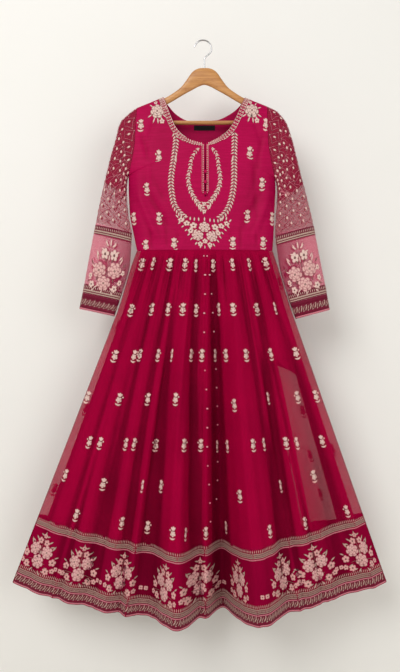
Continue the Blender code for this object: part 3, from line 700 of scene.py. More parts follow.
    def seek(self, measure: Callable[[np.ndarray], np.ndarray], goal: np.ndarray) -> tuple[float, float]:
        """The place in the pattern whose point has a wanted measure.

        Args:
            measure: turns points to two numbers each.
            goal: the wanted two numbers.

        Returns:
            The place, on the layer nearest the camera where several fit.
        """
        away = np.linalg.norm(measure(self.points) - goal, axis=2)
        fits = away < away.min() * FIT_SHARE + FIT_SLACK
        depth = np.where(fits, self.points[..., 1] + away * FIT_COST, np.inf)
        row, column = np.unravel_index(int(np.argmin(depth)), depth.shape)
        rows, columns = depth.shape
        place = np.array([column / (columns - 1), 1 - row / (rows - 1)])
        limit = FIT_REACH / np.array([columns, rows])
        for _ in range(FIT_ROUNDS):
            point, rightward, upward = self.at(*place.tolist())
            here = measure(point)
            steps = [(measure(point + along * FIT_STEP) - here) / FIT_STEP for along in (rightward, upward)]
            move = np.linalg.lstsq(np.stack(steps, axis=1), goal - here, rcond=0.02)[0]
            place = np.clip(place + np.clip(move, -limit, limit), 0, 1)
        return tuple(place.tolist())

    def heights(self) -> np.ndarray:
        """How far each point lies above the lower edge of its column, along the cloth."""
        lengths = np.linalg.norm(np.diff(self.points, axis=0), axis=2)
        total = np.cumsum(lengths[::-1], axis=0)[::-1]
        return np.concatenate([total, np.zeros((1, self.points.shape[1]))])

    def height_at(self, u: float) -> float:
        """The piece's full height along the cloth, at a place across its pattern."""
        heights = self.heights()[0]
        return float(np.interp(u, np.linspace(0, 1, len(heights)), heights))

    def run(self, above: float, pitch: float, start: float = 0.0, below: bool = False) -> list[tuple[float, float]]:
        """Evenly spaced places along a line at one height above the piece's lower edge.

        Args:
            above: the line's height above the lower edge, or its depth below the upper one.
            pitch: the spacing along the cloth.
            start: how far along the first place lies.
            below: whether above counts down from the upper edge.

        Returns:
            The places in the pattern.
        """
        heights = self.heights()
        if below:
            heights = heights[:1] - heights
        rows, columns = heights.shape
        levels = np.empty(columns)
        for column in range(columns):
            line = heights[:, column]
            order = slice(None) if below else slice(None, None, -1)
            levels[column] = np.interp(above, line[order], np.arange(rows)[order])
        low = np.clip(np.floor(levels).astype(int), 0, rows - 2)
        part = (levels - low)[:, None]
        index = np.arange(columns)
        line = self.points[low, index] * (1 - part) + self.points[low + 1, index] * part
        along = np.concatenate([[0], np.cumsum(np.linalg.norm(np.diff(line, axis=0), axis=1))])
        wanted = np.arange(start, along[-1], pitch)
        places = np.interp(wanted, along, index)
        return [(place / (columns - 1), 1 - np.interp(place, index, levels) / (rows - 1)) for place in places]

    def follow(self, spots: tuple[Spot, ...], pitch: float) -> list[tuple[float, float, float]]:
        """Evenly spaced places along a path of photo pixels, each with the path's direction.

        Args:
            spots: the path's corners, joined by a smooth curve.
            pitch: the spacing along the cloth.

        Returns:
            Places in the pattern, and the turn that points a motif's top along the path.
        """
        corners = np.array([(spot.x, spot.y) for spot in spots])
        path = resample(corners, np.linspace(0, len(spots) - 1, PATH_STEPS * (len(spots) - 1) + 1), 0)
        places = np.array([self.find(Spot(*corner)) for corner in path.tolist()])
        points = np.array([self.at(*place)[0] for place in places.tolist()])
        along = np.concatenate([[0], np.cumsum(np.linalg.norm(np.diff(points, axis=0), axis=1))])
        found = []
        for wanted in np.arange(0, along[-1], pitch):
            u, v = (float(np.interp(wanted, along, places[:, axis])) for axis in (0, 1))
            ahead, behind = (np.array([np.interp(wanted + look, along, points[:, axis]) for axis in range(3)])
                             for look in (PATH_LOOK, -PATH_LOOK))
            _, across, up, _, _ = self.axes(u, v, Upright.PLUMB)
            heading = ahead - behind
            found.append((u, v, math.atan2(np.dot(heading, up), np.dot(heading, across)) - math.pi / 2))
        return found


BODICE_MIDDLE = 2.5  # where the bodice's middle lies across, in millimetres
CREASE_FADE = 0.25  # the part of a crease's length over which each of its ends fades


@dataclass(frozen=True)
class Crease:
    """A soft trough, or a ridge where its depth is negative, along a line on the cloth."""

    start: Spot
    end: Spot
    width: float
    depth: float


def creased(points: np.ndarray, creases: tuple[Crease, ...], side: Side) -> np.ndarray:
    """Presses creases into rows of points.

    Args:
        points: the cloth's points in millimetres.
        creases: the creases, whose ends are photo pixels at the plane of the hanger.
        side: which way the cloth faces; on the back the creases are mirrored.

    Returns:
        The moved points.
    """
    moved = points.copy()
    for crease in creases:
        ends = [LENS.flat(spot) for spot in (crease.start, crease.end)]
        if side is Side.BACK:
            ends = [np.array([2 * BODICE_MIDDLE - x, z]) for x, z in ends]
        run = ends[1] - ends[0]
        length = np.linalg.norm(run)
        away = points[..., [0, 2]] - ends[0]
        along = away @ run / length**2
        beside = np.abs(away[..., 0] * run[1] - away[..., 1] * run[0]) / length
        fade = ease(along / CREASE_FADE) * ease((1 - along) / CREASE_FADE)
        moved[..., 1] -= side.value * crease.depth * fade * np.exp(-((beside / crease.width) ** 2))
    return moved


# ---- motifs


class Motif(Enum):
    """Every embroidered motif, by its place in the motif collection."""

    BUTI = 0
    BUTI_TURNED = 1
    BOUQUET = 2
    CUFF_BOUQUET = 3
    NECK_BOUQUET = 4
    SHOULDER_FLOWER = 5
    LINK_BLOSSOM = 6
    LEAF_PAIR = 7
    VINE_FLOWER = 8
    BAND_LEAVES = 9
    SCALLOP = 10
    COMB = 11
    PINK_RAIL = 12
    LEAF_BORDER = 13
    TRELLIS = 14
    SPRIG = 15
    BEAD = 16
    SMALL_COMB = 17


@dataclass
class Sketch:
    """Collects the pads of one motif, in millimetres on a flat cloth."""

    points: list[tuple[float, float, float]] = field(default_factory=list)
    faces: list[tuple[int, ...]] = field(default_factory=list)
    tones: list[tuple[float, float, float, float]] = field(default_factory=list)

    def pad(self, outline: list[tuple[float, float]], rise: float, middle: Tone, rim: Tone, base: float = 0.0) -> None:
        """A closed low dome over an outline.

        Args:
            outline: corners, anticlockwise.
            rise: the dome's height.
            middle: thread colour at the top.
            rim: thread colour at the edge; where it is darker than the middle, it is partly an outline thread and
                partly painted shade on the dome's sides.
            base: height of the edge above the cloth.
        """
        start, count = len(self.points), len(outline)
        x = sum(corner[0] for corner in outline) / count
        y = sum(corner[1] for corner in outline) / count
        # Where the rim's colour is darker than the middle's, the change over the dome is partly outline thread and
        # partly painted shade.
        for corner in outline:
            self.points.append((corner[0], corner[1], base))
            self.tones.append(linear(rim.value))
        if count > 6:
            for corner in outline:
                self.points.append((x + (corner[0] - x) * 0.6, y + (corner[1] - y) * 0.6, base + rise * 0.8))
                self.tones.append(linear(middle.value))
        self.points.append((x, y, base + rise))
        self.tones.append(linear(middle.value))
        top = len(self.points) - 1
        inner = start + (count if count > 6 else 0)
        for corner in range(count):
            after = (corner + 1) % count
            if count > 6:
                self.faces.append((start + corner, start + after, inner + after, inner + corner))
            self.faces.append((inner + corner, inner + after, top))
        self.faces.append(tuple(start + corner for corner in range(count))[::-1])

    def petal(self, x: float, y: float, angle: float, length: float, width: float, middle: Tone, rim: Tone,
              rise: float = 0.7, base: float = 0.0, blunt: float = 0.0, corners: int = 8) -> None:
        """A petal or leaf from its root outwards.

        Args:
            x: the root's place across.
            y: the root's place up.
            angle: its direction in degrees, anticlockwise from the right.
            length: from root to tip.
            width: at its widest.
            middle: thread colour along the middle.
            rim: thread colour at the edge; where darker, partly painted shade, as on a pad.
            rise: its height.
            base: height of its edge.
            blunt: from 0, pointed, to 1, round.
            corners: corners of its outline.
        """
        turn = math.radians(angle)
        outline = []
        for corner in range(corners):
            phase = 2 * math.pi * (corner + 0.5) / corners
            along = 0.5 - 0.5 * math.cos(phase)
            taper = 1 - (1 - blunt) * abs(2 * along - 1) ** 2 * 0.7
            beside = -math.sin(phase) * width / 2 * taper * (0.8 + 0.4 * along * blunt)
            outline.append((
                x + length * along * math.cos(turn) - beside * math.sin(turn),
                y + length * along * math.sin(turn) + beside * math.cos(turn),
            ))
        self.pad(outline, rise, middle, rim, base)

    def disc(self, x: float, y: float, radius: float, middle: Tone, rim: Tone, rise: float = 0.7, base: float = 0.0,
             corners: int = 8) -> None:
        """A round pad; its arguments are as those of a petal."""
        angles = [2 * math.pi * corner / corners for corner in range(corners)]
        self.pad([(x + radius * math.cos(a), y + radius * math.sin(a)) for a in angles], rise, middle, rim, base)

    def blossom(self, x: float, y: float, radius: float, petals: int, turn: float = 90.0,
                middle: Tone = Tone.CREAM, rim: Tone = Tone.BLUSH, heart: Tone = Tone.TAUPE) -> None:
        """A flower of round petals about a small heart.

        Args:
            x: its middle across.
            y: its middle up.
            radius: its radius.
            petals: how many petals it has.
            turn: the first petal's direction in degrees.
            middle: the petals' thread colour.
            rim: the petals' edge colour.
            heart: the heart's colour.
        """
        for petal in range(petals):
            angle = turn + 360 * petal / petals
            self.petal(x, y, angle, radius, 2.3 * math.pi * radius / petals / 1.7, middle, rim, 0.6, blunt=1.0)
        self.disc(x, y, radius * 0.26, heart, Tone.TAUPE, 0.5, 0.45, 6)

    def rose(self, x: float, y: float, radius: float, turn: float = 90.0, middle: Tone = Tone.CREAM,
             rim: Tone = Tone.ROSE) -> None:
        """A full rose: three rings of petals, each ring higher and smaller, about a knot.

        Args:
            x: its middle across.
            y: its middle up.
            radius: its radius.
            turn: the first petal's direction in degrees.
            middle: the petals' thread colour.
            rim: the petals' edge colour.
        """
        rings = ((7, 1.0, 0.30, 0.0, 0.5), (6, 0.72, 0.16, 0.45, 0.5), (4, 0.44, 0.05, 0.85, 0.45))
        for ring, (petals, reach, root, base, rise) in enumerate(rings):
            for petal in range(petals):
                angle = turn + 360 * (petal + 0.5 * (ring % 2)) / petals
                along = math.radians(angle)
                self.petal(
                    x + radius * root * math.cos(along), y + radius * root * math.sin(along), angle,
                    radius * (reach - root), 2 * math.pi * radius * reach * 0.62 / petals * 1.25,
                    middle, rim, rise, base, blunt=1.0,
                )
        self.disc(x, y, radius * 0.13, Tone.STONE, Tone.TAUPE, 0.4, 1.2, 6)

    def stroke(self, path: list[tuple[float, float]], width: float, tone: Tone, rise: float = 0.45) -> None:
        """A line of stem stitch, as a closed three-sided ridge.

        Args:
            path: the line's corners.
            width: its width.
            tone: its thread colour.
            rise: its height.
        """
        start = len(self.points)
        for number, (x, y) in enumerate(path):
            before, after = path[max(number - 1, 0)], path[min(number + 1, len(path) - 1)]
            run = math.hypot(after[0] - before[0], after[1] - before[1]) or 1.0
            across, up = -(after[1] - before[1]) / run * width / 2, (after[0] - before[0]) / run * width / 2
            self.points += [(x + across, y + up, 0.0), (x, y, rise), (x - across, y - up, 0.0)]
            self.tones += [linear(tone.value)] * 3
        for step in range(len(path) - 1):
            first, following = start + 3 * step, start + 3 * step + 3
            self.faces.append((first + 1, first, following, following + 1))
            self.faces.append((first + 2, first + 1, following + 1, following + 2))
            self.faces.append((first, first + 2, following + 2, following))
        end = start + 3 * (len(path) - 1)
        self.faces += [(start, start + 1, start + 2), (end + 2, end + 1, end)]

    def slab(self, left: float, low: float, right: float, high: float, rise: float, tone: Tone) -> None:
        """A flat raised block of stitches between its edges."""
        start = len(self.points)
        for height in (0.0, rise):
            self.points += [(left, low, height), (right, low, height), (right, high, height), (left, high, height)]
        self.tones += [linear(tone.value)] * 8
        sides = ((3, 2, 1, 0), (4, 5, 6, 7), (0, 1, 5, 4), (1, 2, 6, 5), (2, 3, 7, 6), (3, 0, 4, 7))
        self.faces += [tuple(start + corner for corner in side) for side in sides]

    def finish(self, name: str, collection: bpy.types.Collection) -> None:
        """Makes the motif's object, in metres, in the motif collection."""
        mesh = bpy.data.meshes.new(name)
        mesh.from_pydata(self.points, [], self.faces)
        colours = mesh.attributes.new("thread_colour", "FLOAT_COLOR", "POINT")
        colours.data.foreach_set("color", np.array(self.tones, np.float32).ravel())
        mesh.shade_smooth()
        collection.objects.link(bpy.data.objects.new(name, mesh))


@dataclass
class MotifBook:
    """Draws every motif of the dress, as ordinary leaf and flower embroidery of its own."""

    comb_pitch: float = 5.0
    overlap: float = 0.1
    trellis_cell: float = 32.0

    def draw(self, motif: Motif) -> Sketch:
        """The sketch of one motif."""
        sketch = Sketch()
        getattr(self, motif.name.lower())(sketch)
        return sketch

    def buti(self, sketch: Sketch, hand: float = 1.0) -> None:
        """Two stacked blossoms under a pointed bud, with a side bud and a boat-shaped leaf at the foot."""
        for angle in (42, 90, 138):
            sketch.petal(0, 7.8, angle, 9.0, 7.0, Tone.CREAM, Tone.BLUSH, 0.9, blunt=0.4)
        sketch.disc(0, 9.0, 5.6, Tone.CREAM, Tone.BLUSH, 1.0)
        sketch.stroke([(-5.0, 4.4), (0, 5.3), (5.0, 4.4)], 1.3, Tone.SHADE, 1.3)
        sketch.blossom(0, -2.6, 8.2, 5, 54)
        sketch.disc(0, -2.6, 4.4, Tone.CREAM, Tone.CREAM, 0.6, 0.5)
        sketch.stroke([(0.5 * hand, -9.4), (0.2 * hand, -11.4), (0, -13.0)], 1.4, Tone.STONE)
        sketch.stroke([(4.6 * hand, 2.2), (6.6 * hand, 3.6), (8.0 * hand, 5.6)], 1.1, Tone.STONE)
        sketch.disc(8.6 * hand, 6.0, 2.5, Tone.CREAM, Tone.BLUSH, 0.8)
        boat = [(-7.4, -11.4), (-5.6, -15.6), (-1.0, -18.0), (4.4, -17.6), (8.2, -14.0), (9.0, -10.8), (4.2, -12.8),
                (-1.4, -13.4)]
        sketch.pad(boat if hand > 0 else [(-x, y) for x, y in boat[::-1]], 0.8, Tone.CREAM, Tone.BLUSH)

    def buti_turned(self, sketch: Sketch) -> None:
        """The same, with its side bud on the other hand."""
        self.buti(sketch, -1.0)

    def spray(self, sketch: Sketch, spots: tuple[tuple[float, ...], ...], middle: Tone, rim: Tone) -> None:
        """Leaves at places, each as x, y, angle, length and width."""
        for x, y, angle, length, width in spots:
            sketch.petal(x, y, angle, length, width, middle, rim, 0.6)

    def bouquet(self, sketch: Sketch) -> None:
        """The hem's pyramid of three roses, two buds, side flowers and leaves."""
        self.spray(sketch, (
            (-2, 90, 160, 15, 6), (2, 90, 22, 15, 6), (0, 88, 92, 16, 6), (-15, 76, 140, 17, 6), (16, 76, 42, 17, 6),
            (-30, 62, 118, 19, 7), (31, 62, 62, 19, 7), (-25, 20, 205, 17, 7), (23, 18, -28, 17, 7),
            (-8, 6, 232, 15, 6.5), (8, 5, -52, 15, 6.5), (-42, 46, 150, 14, 6), (42, 45, 30, 14, 6),
            (0, 40, 88, 16, 6), (-24, 70, 160, 14, 6), (24, 70, 20, 14, 6), (-16, 6, 190, 14, 6), (16, 6, -10, 14, 6),
        ), Tone.STONE, Tone.TAUPE)
        sketch.stroke([(0, 8), (-1, 40), (0, 86)], 1.6, Tone.TAUPE)
        sketch.stroke([(-44, 22), (-20, 26), (0, 20)], 1.4, Tone.TAUPE)
        sketch.stroke([(44, 20), (20, 25), (0, 20)], 1.4, Tone.TAUPE)
        for x, y, turn in ((-10.5, 77, 100), (10.5, 77, 80)):
            sketch.blossom(x, y, 9.6, 5, turn, Tone.BLUSH, Tone.ROSE)
        sketch.blossom(0, 92, 7.0, 5, 90, Tone.BLUSH, Tone.ROSE)
        sketch.rose(-18.5, 54, 17.6, 80, Tone.PETAL, Tone.ROSE)
        sketch.rose(18.5, 55, 17.6, 100, Tone.PETAL, Tone.ROSE)
        sketch.rose(0, 25, 18.6, 90, Tone.PETAL, Tone.ROSE)
        for x, y, radius, petals in ((-41, 36, 10.4, 5), (41, 35, 10.4, 5), (-30, 10, 10.0, 6), (30, 9, 10.0, 6),
                                     (-46, 15, 7.4, 5), (46, 14, 7.4, 5)):
            sketch.blossom(x, y, radius, petals, 90, Tone.BLUSH, Tone.ROSE)

    def cuff_bouquet(self, sketch: Sketch) -> None:
        """The cuff's paler bouquet: three roses with two buds over them and small flowers beside."""
        self.spray(sketch, (
            (-3, 47, 150, 12, 4.4), (3, 47, 30, 12, 4.4), (-22, 22, 122, 17, 4.6), (24, 22, 58, 17, 4.6),
            (-27, 8, 150, 14, 4.4), (28, 6, 12, 15, 4.6), (-12, -26, 222, 14, 4.6), (14, -26, -36, 14, 4.6),
            (-30, -14, 196, 12, 4.4), (0, 24, 90, 13, 4.0), (-10, 40, 168, 11, 4.0), (12, 40, 14, 11, 4.0),
            (0, 46, 90, 14, 5.0), (-6, 46, 120, 12, 4.4), (6, 46, 60, 12, 4.4), (-22, 30, 140, 12, 4.4),
            (22, 30, 40, 12, 4.4), (0, -34, 250, 10, 4.4), (-20, -34, 230, 11, 4.4), (20, -34, -50, 11, 4.4),
        ), Tone.CREAM, Tone.BLUSH)
        self.spray(sketch, (
            (-4, 22, 120, 12, 4.6), (6, 24, 60, 12, 4.6), (-34, 14, 140, 12, 4.6), (34, 20, 40, 12, 4.6),
            (-16, -8, 250, 10, 4.6), (16, -6, -70, 10, 4.6), (-36, -20, 200, 10, 4.6), (34, -22, -20, 10, 4.6),
        ), Tone.TAUPE, Tone.SHADE)
        sketch.stroke([(0, -22), (1, 8), (0, 44)], 1.2, Tone.TAUPE)
        for x, y in ((-10, 35), (10, 36)):
            sketch.blossom(x, y, 10.0, 5, 90, Tone.CREAM, Tone.ROSE)
        sketch.rose(-17.5, 5, 17.0, 90, Tone.PETAL, Tone.ROSE)
        sketch.rose(16.5, 10, 17.4, 70, Tone.PETAL, Tone.ROSE)
        sketch.rose(-1, -20, 17.0, 100, Tone.PETAL, Tone.ROSE)
        for x, y, radius in ((-29, -27, 8.6), (27, -27, 8.6), (37, -12, 7.4), (-37, -9, 6.6), (39, 10, 6.4)):
            sketch.blossom(x, y, radius, 5, 60, Tone.CREAM, Tone.BLUSH)

    def neck_bouquet(self, sketch: Sketch) -> None:
        """Where the neck's vines meet: three small roses, tilted buds and a fringe of leaves."""
        leaves = [(0, 20, 90, 12, 5), (0, -30, 270, 12, 5)]
        for hand in (-1, 1):
            for x, y, angle, length, width in (
                (46, 24, -42, 9, 5), (40, 15, -45, 9, 5), (34, 6, -48, 9, 5), (29, -4, -50, 10, 5),
                (24, -14, -52, 10, 5), (16, -24, -60, 10, 5), (8, -30, -72, 10, 5), (50, 32, 60, 12, 5),
                (44, 34, 80, 12, 5), (36, 30, 90, 11, 5), (28, 24, 92, 11, 5), (20, 22, 92, 11, 5), (11, 21, 86, 11, 5),
                (14, 4, -30, 10, 5), (22, 4, 30, 10, 5), (6, -2, -80, 9, 4.6), (24, -4, 10, 9, 5),
            ):
                leaves.append((hand * x, y, angle if hand > 0 else 180 - angle, length, width))
        self.spray(sketch, tuple(leaves), Tone.CREAM, Tone.TAUPE)
        sketch.rose(0, 9, 12.5, 90, Tone.CREAM, Tone.ROSE)
        for hand in (-1, 1):
            sketch.rose(hand * 14.5, -10, 12.5, 90 + hand * 20, Tone.CREAM, Tone.ROSE)
            for x, y, radius in ((22, 13, 8.0), (35, 19, 7.0), (46, 28, 6.4), (28, 1, 6.4), (10, -29, 6.0)):
                sketch.blossom(hand * x, y, radius, 5, 90, Tone.CREAM, Tone.BLUSH)
        sketch.blossom(0, -22, 6.0, 5, 90, Tone.CREAM, Tone.BLUSH)

    def shoulder_flower(self, sketch: Sketch) -> None:
        """A round full flower with short leaves about it."""
        self.spray(sketch, tuple(
            (12 * math.cos(math.radians(a)), 12 * math.sin(math.radians(a)), a, 12, 4.2)
            for a in (-110, -85, -60, -35, 20, 60, 100, 140, 215)
        ), Tone.CREAM, Tone.STONE)
        sketch.rose(0, 0, 15.0, 90, Tone.CREAM, Tone.STONE)
        sketch.blossom(9, -19, 5.0, 5)
        sketch.blossom(-4, 20, 5.0, 5)

    def link_blossom(self, sketch: Sketch) -> None:
        """A pair of four-petalled blossoms that links two bouquets."""
        for x in (-6.6, 6.6):
            sketch.blossom(x, 0, 6.4, 4, 45, Tone.BLUSH, Tone.ROSE)

    def leaf_pair(self, sketch: Sketch) -> None:
        """A pair of leaves on a short stem, the repeat of the neck's long vine."""
        sketch.stroke([(0, -5), (0, 5)], 1.6, Tone.TAUPE)
        for angle in (48, 132):
            sketch.petal(0, -3.5, angle, 12.6, 6.0, Tone.CREAM, Tone.STONE, 0.9)
        sketch.disc(0, 1.5, 1.5, Tone.CREAM, Tone.BLUSH, 1.0, corners=6)

    def vine_flower(self, sketch: Sketch) -> None:
        """A small round blossom with two leaves, the repeat of the inner vine."""
        for angle in (35, 145, 255):
            sketch.petal(0, 1, angle, 9.5, 4.4, Tone.CREAM, Tone.STONE, 0.6)
        sketch.blossom(0, 0, 5.6, 5)

    def band_leaves(self, sketch: Sketch) -> None:
        """The neck band's repeat: two short leaves between edging lines."""
        for angle in (38, 142):
            sketch.petal(0, -2.4, angle, 7.6, 4.0, Tone.CREAM, Tone.STONE, 0.6)
        sketch.disc(0, 2.0, 1.5, Tone.CREAM, Tone.CREAM, 0.9, corners=6)
        sketch.slab(-6.4, -3.6, -5.0, 3.6, 0.5, Tone.STONE)
        sketch.slab(5.0, -3.6, 6.4, 3.6, 0.6, Tone.CREAM)

    def scallop(self, sketch: Sketch) -> None:
        """The slit band's repeat: a small loop beside an edging line."""
        sketch.disc(0.4, 0, 1.5, Tone.CREAM, Tone.BLUSH, 0.6, corners=7)
        sketch.slab(-3.0, -2.4, -2.2, 2.4, 0.4, Tone.BLUSH)

    def comb(self, sketch: Sketch) -> None:
        """One tooth of a comb border, the woven band that it stands on, and the rail under that."""
        half = self.comb_pitch / 2 + self.overlap
        sketch.petal(0, 4.6, 90, 11.0, 2.7, Tone.CREAM, Tone.STONE, 0.6, corners=6)
        sketch.slab(-half, -5.6, half, 4.8, 0.2, Tone.TAUPE)
        for low in (-5.6, 3.6):
            sketch.slab(-half, low, half, low + 1.4, 0.5, Tone.STONE)
        for x in (-1.4, 1.2):
            sketch.petal(x - 0.9, -3.6, 66, 6.4, 1.5, Tone.BLUSH, Tone.STONE, 0.4, 0.2, corners=6)
        sketch.slab(-half, -10.8, half, -8.2, 0.5, Tone.CORAL)

    def small_comb(self, sketch: Sketch) -> None:
        """The cuff's comb border: long pale teeth on a wine ground, over a pale band and a thin rail."""
        half = self.comb_pitch / 2 + self.overlap
        sketch.slab(-half, -8.0, half, 15.0, 0.1, Tone.SHADE)
        sketch.slab(-half, -1.2, half, 2.8, 0.5, Tone.STONE)
        sketch.petal(0, 2.4, 90, 11.6, 3.0, Tone.CREAM, Tone.STONE, 0.6, corners=6)
        sketch.slab(-half, -6.2, half, -3.4, 0.5, Tone.STONE)

    def pink_rail(self, sketch: Sketch) -> None:
        """A short length of pink edging that joins into a line."""
        sketch.slab(-2.6, -1.5, 2.6, 1.5, 0.5, Tone.CORAL)

    def leaf_border(self, sketch: Sketch) -> None:
        """The leaf border's repeat: two slanting leaves, one up and one down, with small ones between."""
        for left in (-6.1, -3.1, -0.1, 2.9):
            for low, high in ((-16.0, -5.0), (-5.0, 11.0), (11.0, 21.0)):
                sketch.slab(left, low, left + 3.2, high, 0.1, Tone.SHADE)
        for x, y, angle, width in ((-7.3, -8.6, 62, 4.8), (7.3, 8.6, 242, 2.8)):
            sketch.petal(x, y, angle, 19.0, width, Tone.STONE, Tone.TAUPE, 0.8)
        for x, y, angle in ((-1.0, -9.4, 50), (1.0, 9.4, 230)):
            sketch.petal(x, y, angle, 7.4, 3.0, Tone.CREAM, Tone.STONE, 0.7, corners=6)

    def trellis(self, sketch: Sketch) -> None:
        """One cell of the sleeve's trellis: bowed lines, a drop flower in it, and beads where lines meet."""
        half = self.trellis_cell / 2
        bow = half * 0.42
        for right in (-1, 1):
            for top in (-1, 1):
                path = [(0.0, top * half), (right * bow * 0.9, top * (half - bow * 1.1)), (right * half, 0.0)]
                sketch.stroke(path, 1.3, Tone.ROSE, 0.5)
        self.sprig(sketch)
        for x, y in ((half, 0.0), (0.0, half)):
            sketch.disc(x, y, 1.8, Tone.BLUSH, Tone.ROSE, 0.8, corners=6)

    def sprig(self, sketch: Sketch) -> None:
        """A lone drop flower with a small leaf, also at the trellis's corners."""
        sketch.petal(0, -3, 90, 9.5, 6.6, Tone.CREAM, Tone.BLUSH, 0.9, blunt=0.3)
        sketch.petal(-1.5, -3, 200, 4.2, 2.0, Tone.BLUSH, Tone.ROSE, 0.5, corners=6)

    def bead(self, sketch: Sketch) -> None:
        """A tiny round pearl bead, standing on the cloth."""
        rings, sides, radius = 6, 10, 1.7
        start = len(sketch.points)
        sketch.points.append((0.0, 0.0, 0.0))
        for ring in range(1, rings):
            tilt = math.pi * ring / rings
            for corner in range(sides):
                angle = 2 * math.pi * corner / sides
                away = radius * math.sin(tilt)
                height = radius * (1 - math.cos(tilt))
                sketch.points.append((away * math.cos(angle), away * math.sin(angle), height))
        sketch.points.append((0.0, 0.0, 2 * radius))
        top = len(sketch.points) - 1
        sketch.tones += [linear(Tone.CREAM.value)] * (top - start + 1)
        for corner in range(sides):
            after = (corner + 1) % sides
            sketch.faces.append((start, start + 1 + after, start + 1 + corner))
            for ring in range(rings - 2):
                low = start + 1 + ring * sides
                high = low + sides
                sketch.faces.append((low + corner, low + after, high + after, high + corner))
            last = start + 1 + (rings - 2) * sides
            sketch.faces.append((last + corner, last + after, top))


@dataclass(frozen=True)
class Placed:
    """One motif on a cloth."""

    motif: Motif
    u: float
    v: float
    turn: float = 0.0
    width: float = 1.0
    height: float = 1.0
    upright: Upright = Upright.ALONG_CLOTH


@dataclass(frozen=True)
class Border:
    """A line of one motif, at a height above a piece's lower edge."""

    above: float
    motif: Motif
    pitch: float = 5.0
    squash: float = 1.0

    def places(self, chart: Chart) -> list[Placed]:
        """The border's repeats along a cloth."""
        found = chart.run(self.above, self.pitch, self.pitch / 2)
        return [Placed(self.motif, u, v, height=self.squash) for u, v in found]


def sprig_of(number: int) -> Motif:
    """The sprig whose hand suits its number in a row, so that neighbours differ."""
    return Motif.BUTI if number % 2 else Motif.BUTI_TURNED


# ---- needlework


